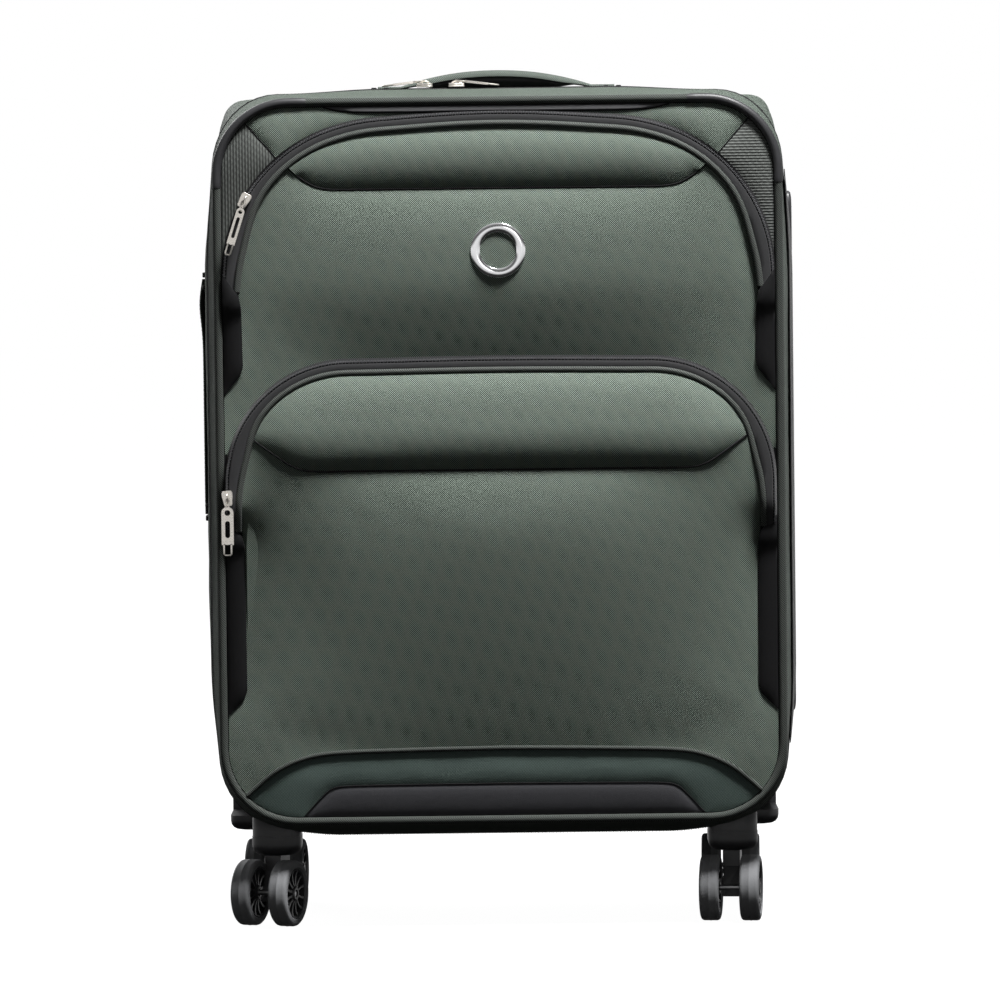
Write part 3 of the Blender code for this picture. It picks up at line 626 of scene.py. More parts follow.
def board_depth(x, z):
    """Depth of the lid's seams: tucked in beside the piping, and a little proud in the middle."""
    half_height = (BOARD_TOP - BOARD_BOTTOM) / 2
    qx = np.abs(x) - (BOARD_HALF - BOARD_RADIUS)
    qz = np.abs(z - (BOARD_TOP + BOARD_BOTTOM) / 2) - (half_height - BOARD_RADIUS)
    corner = np.hypot(np.maximum(qx, 0), np.maximum(qz, 0))
    within = BOARD_RADIUS - corner - np.minimum(np.maximum(qx, qz), 0)
    return -0.1168 - 0.0036 * ease(within / 0.040)


def foot_depth(z):
    """How far the lower pocket's zip drops back towards its foot."""
    return 0.0095 * ease((z - 0.306) / 0.030)


def pocket_edge(x, z):
    """Depth of the lower pocket's edge: proud at its zip, and back at its foot and its sides."""
    return board_depth(x, z) - foot_depth(z) * 1.22


def upper_pocket_edge(x, z):
    """Depth of the upper pocket's edge beside its cord, and of the seam across it."""
    return board_depth(x, z) - 0.0020 * (z > 0.590)


def insert_edge(x, z):
    """Depth of the black inserts' edges, which come forward at the top to cover the zips' feet."""
    over = ease((z - 0.476) / 0.012) + ease((z - 0.292) / 0.012) * (z < 0.400)
    return board_depth(x, z) - 0.0012 - 0.0050 * over


def pocket_seam(x, z):
    """Depth of the seam across the lower pocket, which the filling lifts off its edge."""
    inward = ease((LOWER_ARCH[0] + LOWER_ARCH[2] - np.abs(x)) / 0.050)
    return pocket_edge(x, z) - 0.0050 * inward * ((z > 0.345) & (z < 0.395))


def upper_body_front(x, z):
    """The upper pocket stands out most just below its seam, and falls back to the lower zip."""
    side = 1 - (np.abs(x) / BOARD_HALF) ** 2.4
    rise = 1 - (1 - np.clip((z - 0.446) / 0.060, 0, 1)) ** 1.3
    return -0.1165 - 0.0117 * rise * (0.20 + 0.80 * side)


def upper_body_edge(x, z):
    """Depth of the upper pocket's edge, which drops into a recess above the lower pocket's zip."""
    cx, cz, radius = LOWER_ARCH
    near = np.hypot(np.maximum(np.abs(x) - cx, 0), z - cz) < radius + ZIP_EDGE + 0.003
    return np.where(near & (z > cz), -0.1156, board_depth(x, z))


def lower_body_front(x, z):
    """The lower pocket stands out most below its seam, and falls back towards the base band."""
    side = 1 - (np.abs(x) / BOARD_HALF) ** 2.2
    rise = 1 - (1 - np.clip((z - 0.138) / 0.205, 0, 1)) ** 1.25
    return -0.1200 - 0.0280 * rise * (0.12 + 0.88 * side)


# ---------------------------------------------------------------- padded panels
def settle(points, faces, pinned, pressure, excess, cap):
    """Lets a pinned sheet of cloth fill out under pressure. Returns where its points come to rest."""
    mesh = bpy.data.meshes.new("cloth")
    mesh.from_pydata(points, [], faces)
    cloth = bpy.data.objects.new("cloth", mesh)
    bpy.context.scene.collection.objects.link(cloth)
    group = cloth.vertex_groups.new(name="pinned")
    group.add([int(i) for i in pinned], 1.0, "REPLACE")
    modifier = cloth.modifiers.new("cloth", "CLOTH")
    settings = modifier.settings
    settings.vertex_group_mass = "pinned"
    settings.quality = 6
    settings.mass = 0.25
    settings.tension_stiffness = 22
    settings.compression_stiffness = 12
    settings.bending_stiffness = 1.2
    settings.use_pressure = True
    settings.uniform_pressure_force = pressure
    settings.shrink_min = -excess
    settings.effector_weights.gravity = 0
    modifier.collision_settings.use_collision = False
    modifier.point_cache.frame_end = 22
    scene = bpy.context.scene
    for number in range(1, 23):
        scene.frame_set(number)
    evaluated = cloth.evaluated_get(bpy.context.evaluated_depsgraph_get())
    moved = np.array([v.co for v in evaluated.data.vertices], float)
    scene.frame_set(1)
    bpy.data.objects.remove(cloth)
    start = np.array(points, float)
    push = (moved - start)[:, 1]
    push[~np.isfinite(push)] = 0
    fall = cap * np.tanh(push / cap)
    links = np.array(sorted({tuple(sorted((f[k], f[k - 1]))) for f in faces for k in range(3)}))
    i, j = np.vstack([links, links[:, ::-1]]).T
    count = np.bincount(i, minlength=len(start))
    free = np.ones(len(start))
    free[pinned] = 0
    for _ in range(16):
        fall = free * (0.5 * fall + 0.5 * np.bincount(i, fall[j], len(start)) / count)
    start[:, 1] += fall
    return start


def relax(flat, faces, held, start, target, reach):
    """Heights of a filled sheet: held at its edge, and drawn to target within about reach of it.

    It solves (1 - reach^2 * Laplacian) height = target on the triangles by conjugate gradients.
    """
    tri = np.array(faces)
    mass = np.zeros(len(flat))
    pairs, weights = [], []
    for k in range(3):
        a, b, c = tri[:, k], tri[:, (k + 1) % 3], tri[:, (k + 2) % 3]
        u, v = flat[a] - flat[c], flat[b] - flat[c]
        cross = np.abs(u[:, 0] * v[:, 1] - u[:, 1] * v[:, 0]) + 1e-14
        pairs.append(np.stack([a, b], 1))
        weights.append(0.5 * np.clip((u * v).sum(1) / cross, 0.02, 8.0))
        mass += np.bincount(c, cross / 6, len(flat))
    i, j = np.vstack(pairs).T
    w = np.concatenate(weights) * reach ** 2
    free = ~held

    def apply(h):
        pull = w * (h[i] - h[j])
        return mass * h + np.bincount(i, pull, len(h)) - np.bincount(j, pull, len(h))

    h = np.where(held, start, target)
    rest = np.where(free, mass * target - apply(h), 0.0)
    step = rest.copy()
    power = (rest ** 2).sum()
    for _ in range(260):
        if power < 1e-24:
            break
        moved = np.where(free, apply(step), 0.0)
        rate = power / (step * moved).sum()
        h = h + rate * step
        rest = rest - rate * moved
        new = (rest ** 2).sum()
        step = rest + new / power * step
        power = new
    return h


def panel(name, polygon, depth, puff, reach, material, body, *replaced,
          facing=-1, spacing=0.0035, back=0.0030, cloth=None, crease=0.0, fill=None, thin=False):
    """A padded piece of fabric within an outline of (x, z) points.

    Its edge follows depth(x, z), and it swells from there to puff in front of it, or to the depth
    that puff(x, z) gives, within about reach of the edge. cloth is (pressure, excess, cap).
    """
    edge = even_line(polygon, spacing, closed=True)
    before, after = np.roll(edge, 1, 0), np.roll(edge, -1, 0)
    normal = np.stack([-(after - before)[:, 1], (after - before)[:, 0]], 1)
    normal /= np.linalg.norm(normal, axis=1)[:, None] + 1e-12
    _, test = edge_distance(edge + normal * 1e-4, edge)
    if test.mean() < 0.5:
        normal = -normal
    inner = []
    for offset in (0.0010, 0.0026):
        ring = edge + normal * offset
        far, within = edge_distance(ring, edge)
        inner.append(ring[within & (far > offset * 0.85)])
    low, high = edge.min(0), edge.max(0)
    gx = np.arange(low[0] + spacing / 2, high[0], spacing)
    gz = np.arange(low[1] + spacing / 2, high[1], spacing)
    grid = np.stack(np.meshgrid(gx, gz), -1).reshape(-1, 2)
    far, within = edge_distance(grid, edge)
    flat = np.vstack([edge, *inner, grid[within & (far > 0.0026 + spacing * 0.55)]])
    count = len(edge)
    loop = [(i, (i + 1) % count) for i in range(count)]
    verts, _, faces, _, _, _ = delaunay_2d_cdt([Vector(p) for p in flat], loop, [], 1, 1e-7)
    flat = np.array([tuple(v) for v in verts])
    x, z = flat[:, 0], flat[:, 1]
    faces = [list(f) for f in faces]
    far, _ = edge_distance(flat, edge)
    rim = far < 1e-6
    start = depth(x, z)
    target = puff(x, z) if callable(puff) else start + facing * puff
    y = relax(flat, faces, rim, start, target, reach)
    if crease:
        ripple = np.array([noise.noise(Vector((a * 38, 0.3, b * 38))) for a, b in flat])
        y = y + facing * crease * ripple * np.clip(far / 0.01, 0, 1)
    points = np.stack([x, y, z], 1)
    one = points[faces[0][1]] - points[faces[0][0]]
    two = points[faces[0][2]] - points[faces[0][0]]
    if np.cross(one, two)[1] * facing < 0:
        faces = [f[::-1] for f in faces]
    if cloth:
        pressure, excess, cap = cloth
        points = settle(points, faces, np.flatnonzero(rim), pressure, excess, cap)
    # Close the sheet with a rim and a plain back.
    edges = {(a, b) for f in faces for a, b in zip(f, f[1:] + f[:1])}
    border = {a: b for a, b in edges if (b, a) not in edges}
    first = min(border)
    order = [first]
    while border[order[-1]] != first:
        order.append(border[order[-1]])
    base = len(points)
    size = len(order)
    if thin:
        rear = points - np.array([0, facing * back, 0])
        under = [base + i for i in order]
        faces += [[base + i for i in reversed(f)] for f in faces]
    else:
        rear = points[order] - np.array([0, facing * back, 0])
        under = [base + i for i in range(size)]
        faces.append(list(under))
    for i in range(size):
        j = (i + 1) % size
        faces.append([order[j], order[i], under[i], under[j]])
    made = Shape().add(np.vstack([points, rear]), faces).piece(name, material, body, *replaced, sharp=50)
    return made


def line_on(points, depth, lift):
    """A line of (x, z) points laid on a depth function, lifted off it."""
    p = np.array(points, float)
    y = depth(p[:, 0], p[:, 1]) - lift
    return np.stack([p[:, 0], y, p[:, 1]], 1)


def stitches(name, points, ups, body, pitch=0.0034, length=0.0021, thick=0.00035):
    """A row of short raised stitches along a line."""
    path = even_line(points, pitch)
    up = np.broadcast_to(np.array(ups, float), path.shape)
    tangent = unit(np.gradient(path, axis=0))
    side = np.cross(tangent, up)
    shape = Shape().blocks(path, list(zip(tangent, side, up)), (length / 2, thick, thick * 0.8))
    shape.piece(name, "piping", body)


def seam(name, half, depth, drop, lift, radius, material="black_fabric", count=8):
    """A thin round line along a seam, on both sides of x = 0."""
    path = line_on([(x, z + drop) for x, z in both_sides(half)], depth, lift)
    Shape().sweep(path, (0, -1, 0), circle(radius, count)).piece(name, material, "lid")


# ---------------------------------------------------------------- camera and light
def make_camera():
    data = bpy.data.cameras.new("camera")
    camera = bpy.data.objects.new("camera", data)
    bpy.context.scene.collection.objects.link(camera)
    data.lens = 203.4
    data.sensor_width = 36.0
    place = Vector((0.0, -4.517, 0.523))
    aim = Vector((-0.0008, FRONT_Y, 0.3345))
    turn = (aim - place).to_track_quat("-Z", "Y") @ Quaternion((0, 0, 1), math.radians(-0.68))
    camera.rotation_mode = "QUATERNION"
    camera.location = place
    camera.rotation_quaternion = turn
    data.clip_start, data.clip_end = 0.1, 100
    bpy.context.scene.camera = camera


def make_area(name, place, aim, size, power):
    data = bpy.data.lights.new(name, "AREA")
    data.shape = "DISK"
    data.size = size
    data.energy = power
    lamp = bpy.data.objects.new(name, data)
    bpy.context.scene.collection.objects.link(lamp)
    lamp.location = place
    lamp.rotation_mode = "QUATERNION"
    lamp.rotation_quaternion = (Vector(aim) - Vector(place)).to_track_quat("-Z", "Y")


def make_studio():
    scene = bpy.context.scene
    scene.view_settings.view_transform = "Standard"
    make_area("key_light", (0.78, -0.84, 3.06), (0, 0, 0.35), 0.7, 216)
    make_area("front_light", (0.55, -3.9, 1.15), (0, 0, 0.35), 0.8, 3.5)
    make_area("rear_light", (-1.7, 2.8, 2.0), (0, 0, 0.35), 2.4, 70)

    world = bpy.data.worlds.new("studio")
    scene.world = world
    world.use_nodes = True
    tree = world.node_tree
    where = tree.nodes.new("ShaderNodeTexCoord")
    split = tree.nodes.new("ShaderNodeSeparateXYZ")
    tree.links.new(where.outputs["Generated"], split.inputs[0])
    height = tree.nodes.new("ShaderNodeMapRange")
    height.inputs["From Min"].default_value = -1.0
    tree.links.new(split.outputs[2], height.inputs["Value"])
    seen = tree.nodes.new("ShaderNodeLightPath")
    # What lights the fabric, what the metal mirrors, and the white that the camera sees.
    shell = tree.nodes["Background"]
    last = shell
    for way, stops in (
        (None, ((0.0, 0.010), (0.5, 0.028), (1.0, 0.18))),
        ("Is Glossy Ray", ((0.0, 0.02), (0.36, 0.03), (0.44, 0.75), (0.53, 0.95), (0.60, 0.10), (0.72, 0.20),
                           (1.0, 0.75))),
        ("Is Camera Ray", ((0.0, 1.0), (1.0, 1.0))),
    ):
        ramp = tree.nodes.new("ShaderNodeValToRGB")
        marks = ramp.color_ramp.elements
        while len(marks) < len(stops):
            marks.new(0.5)
        for mark, (place, level) in zip(marks, stops):
            mark.position = place
            mark.color = (level, level, level, 1)
        tree.links.new(height.outputs[0], ramp.inputs[0])
        if way is None:
            tree.links.new(ramp.outputs[0], shell.inputs["Color"])
            continue
        view = tree.nodes.new("ShaderNodeBackground")
        tree.links.new(ramp.outputs[0], view.inputs["Color"])
        choose = tree.nodes.new("ShaderNodeMixShader")
        tree.links.new(seen.outputs[way], choose.inputs[0])
        tree.links.new(last.outputs[0], choose.inputs[1])
        tree.links.new(view.outputs[0], choose.inputs[2])
        last = choose
    tree.links.new(last.outputs[0], tree.nodes["World Output"].inputs["Surface"])

    mesh = bpy.data.meshes.new("floor")
    size = 30
    mesh.from_pydata([(-size, -size, 0), (size, -size, 0), (size, size, 0), (-size, size, 0)], [], [[0, 1, 2, 3]])
    floor = bpy.data.objects.new("floor", mesh)
    scene.collection.objects.link(floor)
    pale = bpy.data.materials.new("pale_floor")
    pale.use_nodes = True
    shader = pale.node_tree.nodes["Principled BSDF"]
    shader.inputs["Base Color"].default_value = (0.12, 0.12, 0.12, 1)
    shader.inputs["Roughness"].default_value = 0.9
    shader.inputs["Specular IOR Level"].default_value = 0.0
    shader.inputs["Emission Color"].default_value = (1, 1, 1, 1)
    shader.inputs["Emission Strength"].default_value = 0.985
    mesh.materials.append(pale)
    floor.visible_diffuse = False
    floor.visible_glossy = False
    floor.location.z = -0.0008


# ---------------------------------------------------------------- case
def cut(target, low, high):
    """Takes a box out of a piece and applies the cut."""
    mesh = bpy.data.meshes.new("cutter")
    bm = bmesh.new()
    bmesh.ops.create_cube(bm, size=1.0)
    bmesh.ops.scale(bm, vec=[b - a for a, b in zip(low, high)], verts=bm.verts)
    bmesh.ops.translate(bm, vec=[(a + b) / 2 for a, b in zip(low, high)], verts=bm.verts)
    bm.to_mesh(mesh)
    bm.free()
    tool = bpy.data.objects.new("cutter", mesh)
    bpy.context.scene.collection.objects.link(tool)
    modifier = target.modifiers.new("cut", "BOOLEAN")
    modifier.operation = "DIFFERENCE"
    modifier.object = tool
    depsgraph = bpy.context.evaluated_depsgraph_get()
    mesh = bpy.data.meshes.new_from_object(target.evaluated_get(depsgraph))
    target.modifiers.clear()
    target.data = mesh
    bpy.data.objects.remove(tool)


def make_case():
    depths = np.linspace(ZIP_Y + 0.0048, 0.1308, 26)
    rows = [(y, 0.0) for y in depths] + [(y, WALL) for y in depths[::-4]]
    # The walls wear the twill darkened by half, as painted shade.
    case = ring_wall(rows, 0.0016).piece(
        "case_walls", "shaded_twill_fabric", "case", "top_panel", "bottom_panel", "left_side_panel", "right_side_panel"
    )
    cut(case, (-0.1005, TUBE_Y - 0.0206, 0.640), (0.1005, TUBE_Y + 0.0206, 0.670))
    # Slots for the legs of the two carry handles.
    for sign in (-1, 1):
        x = sign * LEG_REACH
        cut(case, (x - 0.0022, -0.0172, 0.645), (x + 0.0022, 0.0072, 0.664))
        z = SIDE_HANDLE_Z + sign * LEG_REACH
        cut(case, (-0.245, -0.0022, z - 0.0022), (-0.224, 0.0222, z + 0.0022))

    # Lining: thick padded sides that step in behind the zip.
    steps = [(-0.0752, 0.0046), (-0.0700, 0.0060), (-0.0620, 0.0200), (-0.0540, 0.0270)]
    steps += [(y, 0.0270) for y in np.linspace(-0.045, 0.0910, 10)]
    back = [(0.0910, 0.0280), (-0.0530, 0.0280), (-0.0610, 0.0212), (-0.0692, 0.0070), (-0.0745, 0.0054)]
    ring_wall(steps + back).piece("side_lining", "lining", "case")

    path, ups = ring_path(0.1345, PIPING)
    piping = Shape().sweep(path, ups, circle(PIPING, 14), closed=True)
    piping.piece("back_piping", "piping", "case", "rear_piping")
    for name, body, rows, replaced in (
        ("case_zip_tape", "case", [(-0.0795, 0.0016), (-0.0789, 0.0009), (-0.0757, 0.0004), (-0.0757, 0.0040),
                                   (-0.0795, 0.0040)], "case_zip"),
        ("lid_zip_tape", "lid", [(-0.0805, 0.0016), (-0.0811, 0.0009), (-0.0843, 0.0004), (-0.0843, 0.0030),
                                 (-0.0805, 0.0030)], "lid_zip"),
    ):
        ring_wall(rows).piece(name, "zip_tape", body, replaced)
    make_ring_teeth()


def make_ring_teeth():
    """The main zip's coil: two rows of teeth, one on the case and one on the lid."""
    path, ups = ring_path(ZIP_Y, 0.0012)
    both = even_line(np.hstack([np.array(path), np.array(ups)]), 0.0014, closed=True)
    rearward = Vector((0, 1, 0))
    for row, (name, body, sign) in enumerate((("case_zip_coil", "case", 1), ("lid_zip_coil", "lid", -1))):
        centres, axes = [], []
        for i in range(row, len(both), 2):
            place, up = Vector(both[i][:3]), Vector(both[i][3:]).normalized()
            if place.x > 0.2 and 0.135 < place.z < 0.595:
                continue        # the fabric hinge has no zip
            centres.append(place + Vector((0, sign * 0.0007, 0)) + up * 0.0004)
            axes.append((up.cross(rearward), rearward, up))
        Shape().blocks(centres, axes, (0.00055, 0.0014, 0.0006)).piece(name, "coil", body)


def make_hinge():
    """The strip of fabric on the right on which the lid turns."""
    heights = np.linspace(0.140, 0.590, 60)
    depths = np.linspace(-0.0915, -0.0685, 15)
    sections = []
    for z in heights:
        line = [(draw_in(y, outline(y)[0], z, 1.0, 0.0)[0], y) for y in depths]
        front = [(x + 0.0011, y, z) for x, y in line]
        back = [(x + 0.0004, y, z) for x, y in reversed(line)]
        sections.append(front + back)
    hinge_x = outline(ZIP_Y)[0] + 0.001
    ends = ("case", "lid", (hinge_x, -0.0735, 0.365), (hinge_x, -0.0865, 0.365))
    strip = Shape().loft(sections).piece("hinge_strip", "black_fabric", None, blend=ends)


def make_back():
    """Back panel with two raised channels over the telescopic tubes."""
    line = [(x, z) for x, z, _, _ in around(REAR_Y, PIPING + 0.0037, 60, 50, 8)]

    def front(x, z):
        off = np.abs(np.abs(x) - TUBE_X)
        channel = ease((0.024 - off) / 0.010) * ease((z - 0.120) / 0.020)
        hollow = ease((TUBE_X - 0.026 - np.abs(x)) / 0.020) * ease((z - 0.150) / 0.030)
        return 0.1389 + 0.0050 * channel - 0.0010 * hollow

    # The back cover wears the twill darkened by half, as painted shade.
    panel("back_cover", line, level(0.1374), front, 0.0035, "shaded_twill_fabric", "case", "back_panel",
          facing=1, spacing=0.005, back=0.0025, crease=0.0004, fill=0.8)
    for name, sign in SIDES:
        # Both rows lie on the channel's outer side, one on the other.
        path = [(sign * (TUBE_X + 0.026), 0.1398, z) for z in np.linspace(0.112, 0.640, 90)]
        for word in ("inner", "outer"):
            stitches("back_stitching_" + name + "_" + word, path, (0, 1, 0), "case")


# ---------------------------------------------------------------- lid
def make_lid_frame():
    depths = np.linspace(-0.1132, ZIP_Y - 0.0048, 9)
    rows = [(y, 0.0004) for y in depths] + [(y, LID_WALL) for y in depths[::-2]]
    # The lid's side wears the twill darkened by half, as painted shade.
    ring_wall(rows, 0.0012, 4.0).piece("lid_side", "shaded_twill_fabric", "lid", "lid_gusset")
    rows = [(-0.1120, 0.0052), (-0.0852, 0.0046), (-0.0852, 0.0060), (-0.1120, 0.0060)]
    ring_wall(rows).piece("lid_side_lining", "lining", "lid")

    path, ups = ring_path(FRONT_Y, PIPING)
    piping = Shape().sweep(path, ups, circle(PIPING, 16), closed=True)
    piping.piece("lid_piping", "piping", "lid", "front_piping")
    # The flange behind the piping, stitched through to the side.
    rows = [(-0.1160, 0.0045), (-0.1160, BOARD + 0.002), (-0.1132, BOARD + 0.002), (-0.1132, 0.0045)]
    ring_wall(rows).piece("piping_flange", "black_fabric", "lid")

    for name, sign in SIDES:
        turns = np.radians(np.linspace(90.001, -0.001, 26))
        cx, cz = FRONT_HALF_WIDTH - FRONT_RADIUS, FRONT_TOP - FRONT_RADIUS
        reach = FRONT_RADIUS - PIPING
        line = [(cx - 0.0135 * (1 - i / 4), cz + reach, 0, 1) for i in range(4)]
        line += [(cx + reach * math.cos(t), cz + reach * math.sin(t), math.cos(t), math.sin(t)) for t in turns]
        line += [(cx + reach, cz - 0.009 * i / 4, 1, 0) for i in range(1, 5)]
        path = [(sign * x, FRONT_Y - 0.0003, z) for x, z, _, _ in line]
        ups = [(sign * ox, 0, oz) for _, _, ox, oz in line]
        ends = [0.90] + [1.0] * (len(path) - 2) + [0.90]
        sleeve = Shape().sweep(path, ups, circle(PIPING + 0.0004, 18), scales=ends)
        sleeve.piece("corner_sleeve_" + name, "corner_sleeve", "lid")

    board = [(x, z) for x, z, _, _ in around(FRONT_Y, BOARD + 0.001, 50, 40, 8)]
    panel("lid_board", board, level(-0.1140), 0.0, 0.01, "black_fabric", "lid", "lid_panel",
          spacing=0.02, back=0.0016)
    lining = panel("lid_lining", board, level(-0.1119), 0.0030, 0.03, "lining", "lid",
                   facing=1, spacing=0.008, back=0.0004, crease=0.0010, thin=True)
    pocket = mirrored([(0, 0.540), (0.190, 0.540), (0.195, 0.535), (0.195, 0.135), (0.180, 0.118), (0, 0.118)])
    net = panel("mesh_pocket", pocket, level(-0.1082), 0.0030, 0.03, "mesh", "lid",
                facing=1, spacing=0.008, back=0.0006, crease=0.0012, thin=True)
    band = mirrored([(0, 0.556), (0.196, 0.556), (0.196, 0.538), (0, 0.538)])
    elastic = panel("pocket_elastic", band, level(-0.1074), 0.0020, 0.006, "webbing", "lid",
                    facing=1, spacing=0.006, back=0.0008)


def pocket_parts(arch, foot_z, half_seam, gap):
    """A pocket's two outlines inside its cord: the whole part above its seam, and the right half of
    the line that runs out along the seam and down to the foot. gap is left at the seam, in degrees.
    """
    def angle(point):
        return math.degrees(math.atan2(point[1] - arch[1], point[0] - arch[0]))

    inside = arch_half(arch, flank, foot_z)
    turn = angle(half_seam[-1])
    high = [p for p in inside if angle(p) > turn + gap]
    low = [p for p in inside if angle(p) <= turn - gap]
    return mirrored([(0, high[-1][1])] + high[:-1][::-1] + half_seam[::-1]), half_seam + low[::-1]


def make_front_fabric():
    """The panels of the lid's front, from the top down."""
    # The edge and the corner pieces beside the upper arch, which meet at this angle.
    meet = 49.8
    over = [p for p in arch_half(UPPER_ARCH, ZIP_EDGE, 0, meet) if p[0] >= 0.034]
    under = arch_half(UPPER_ARCH, ZIP_EDGE, 0, 3.8, meet)
    band = [p for p in LENS_LINE if p[0] >= 0.036] + board_arc(88, 50.3) + over
    ribs = board_arc(50.3, 0) + [(BOARD_HALF, 0.5160)] + under
    for name, sign in SIDES:
        for part, half, depth, puff, reach, material, more in (
            ("top_band_", band, board_depth, 0.0034, 0.007, "twill_fabric", {"crease": 0.0003}),
            ("corner_insert_", ribs, board_depth, 0.0022, 0.006, "rib_" + name, {}),
            ("upper_insert_", UPPER_BLACK, insert_edge, 0.0040, 0.005, "black_fabric", {"back": 0.005}),
            ("lower_insert_", LOWER_BLACK, insert_edge, 0.0040, 0.005, "black_fabric", {"back": 0.005}),
        ):
            side = [(sign * x, z) for x, z in half]
            panel(part + name, side, depth, puff, reach, material, "lid", spacing=0.003, fill=0.5, **more)
    # The top insert is coloured with the paler copy of the charcoal cloth, as painted light.
    lens = mirrored([(0, BOARD_TOP), (0.1345, BOARD_TOP)] + LENS_LINE[::-1])
    panel("top_insert", lens, board_depth, 0.0042, 0.0016, "charcoal_painted_light", "lid", spacing=0.0022, fill=0.5)

    top, body = pocket_parts(UPPER_ARCH, UPPER_FOOT, UPPER_SEAM, 0.5)
    panel("upper_pocket_top", top, upper_pocket_edge, 0.0072, 0.013, "twill_fabric", "lid",
          cloth=TOP_CLOTH, fill=0.6)
    body = body + UPPER_BLACK[1:] + [(BOARD_HALF, 0.3210), (LOWER_ARCH[0] + LOWER_ARCH[2] + ZIP_EDGE, 0.3205)]
    body += [p for p in arch_half(LOWER_ARCH, ZIP_EDGE, LOWER_FOOT) if p[1] > 0.323]
    panel("upper_pocket_body", mirrored(body), upper_body_edge, upper_body_front, 0.013, "twill_fabric", "lid",
          "upper_pocket", cloth=BODY_CLOTH, fill=0.6)

    top, body = pocket_parts(LOWER_ARCH, LOWER_FOOT, LOWER_SEAM, 0.8)
    panel("lower_pocket_top", top, pocket_seam, 0.0110, 0.015, "twill_fabric", "lid",
          cloth=TOP_CLOTH, fill=0.6)
    body = body + LOWER_BLACK[1:] + [(BOARD_HALF, 0.1416)] + board_arc(0, -42, False) + BEAD_LINE[::-1]
    panel("lower_pocket_body", mirrored(body), pocket_seam, lower_body_front, 0.022, "twill_fabric", "lid",
          "lower_pocket", cloth=BODY_CLOTH, fill=0.7)

    foot = BEAD_LINE + board_arc(-42, -89, False) + FOOT_LINE[::-1]
    panel("base_band", mirrored(foot), board_depth, 0.0014, 0.006, "base_fabric", "lid", crease=0.0003, fill=0.5)
    insert = FOOT_LINE + [(0.150, BOARD_BOTTOM), (0, BOARD_BOTTOM)]
    panel("foot_insert", mirrored(insert), board_depth, 0.0020, 0.004, "charcoal_fabric", "lid", fill=0.5)

    seam("upper_seam", UPPER_SEAM, board_depth, -0.0002, 0.0004, 0.0007)
    seam("lower_seam", LOWER_SEAM, pocket_seam, -0.0002, 0.0004, 0.0007)
    for name, sign in SIDES:
        line = smooth_line([(sign * x, z) for x, z in ((0.1713, 0.6020), (0.1836, 0.6160), (0.1960, 0.6300))])
        path = line_on(line, board_depth, 0.0002)
        Shape().sweep(path, (0, -1, 0), circle(0.0005)).piece("corner_seam_" + name, "black_fabric", "lid")
    seam("top_insert_seam", LENS_LINE, board_depth, -0.0001, 0.0003, 0.0006)
    seam("foot_insert_seam", FOOT_LINE, board_depth, 0.0002, 0.0003, 0.0006)
    seam("base_bead", BEAD_LINE, board_depth, 0.0, 0.0012, 0.0019, "piping", 12)


def make_arch_zip(name, arch, foot_z, outer_depth, coil_front, cord_front, replaced):
    """Zip tape, its coil and flap, and the fabric-covered cord beside it, along a pocket's arch."""
    def rail(shift, y_of):
        half = arch_half(arch, shift, foot_z)
        line = np.array([(-x, z) for x, z in half] + half[-2::-1], float)
        return np.stack([line[:, 0], y_of(line[:, 0], line[:, 1]), line[:, 1]], 1)

    def coil_y(x, z):
        return coil_front(z) + 0.0009

    outside = rail(ZIP_OUTSIDE + 0.0022, lambda x, z: outer_depth(x, z) - 0.0004)
    rise = rail(ZIP_OUTSIDE + 0.0006, lambda x, z: 0.5 * outer_depth(x, z) + 0.5 * coil_y(x, z))
    tooth_seat = rail(ZIP_OUTSIDE - 0.0004, lambda x, z: coil_y(x, z) + 0.0006)
    groove = rail(ZIP_OUTSIDE - 0.0016, lambda x, z: coil_y(x, z) + 0.0012)
    behind = [rail(ZIP_OUTSIDE - 0.0016, lambda x, z: coil_y(x, z) + 0.0026),
              rail(ZIP_OUTSIDE + 0.0006, lambda x, z: outer_depth(x, z) + 0.0024),
              outside + (0, 0.003, 0)]
    rails = [outside, rise, tooth_seat, groove] + behind
    tape = Shape().loft([[r[i] for r in rails] for i in range(len(outside))])
    tape.piece(name + "_tape", "zip_tape", "lid", replaced)

    def flap_shift(turn, share):
        outer, inner = ZIP_OUTSIDE - 0.0017, cord_shift(turn) + CORD * 0.7
        return outer + (inner - outer) * share

    rails = [rail(lambda turn, f=f: flap_shift(turn, f), lambda x, z, f=f, d=d: coil_front(z) + d)
             for f, d in ((0.0, 0.0010), (0.06, 0.0002), (0.45, -0.0003), (0.86, 0.0000), (1.0, 0.0012),
                          (1.0, 0.0034), (0.0, 0.0026))]
    flap = Shape().loft([[r[i] for r in rails] for i in range(len(rails[0]))])
    flap.piece(name + "_flap", "flap", "lid")

    # The arch coil's teeth are coloured pale: painted glints where they catch the light.
    middle = even_line(rail(COIL_MIDDLE, coil_y), 0.00135)
    tangent = unit(np.gradient(middle, axis=0))
    centres, axes = [], []
    out = Vector((0, -1, 0))
    for i, (p, t) in enumerate(zip(middle, tangent)):
        along = Vector(t)
        across = along.cross(out)
        centres.append(Vector(p) + across * (0.0002 if i % 2 else -0.0002))
        axes.append((along, across, out))
    Shape().blocks(centres, axes, (0.00042, 0.00085, 0.0006)).piece(name + "_coil", "coil_painted_glint", "lid")

    cord = rail(cord_shift, lambda x, z: cord_front(z) + 0.0006)
    Shape().sweep(cord, (0, -1, 0), circle(CORD, 14)).piece(name + "_cord", "cord", "lid")


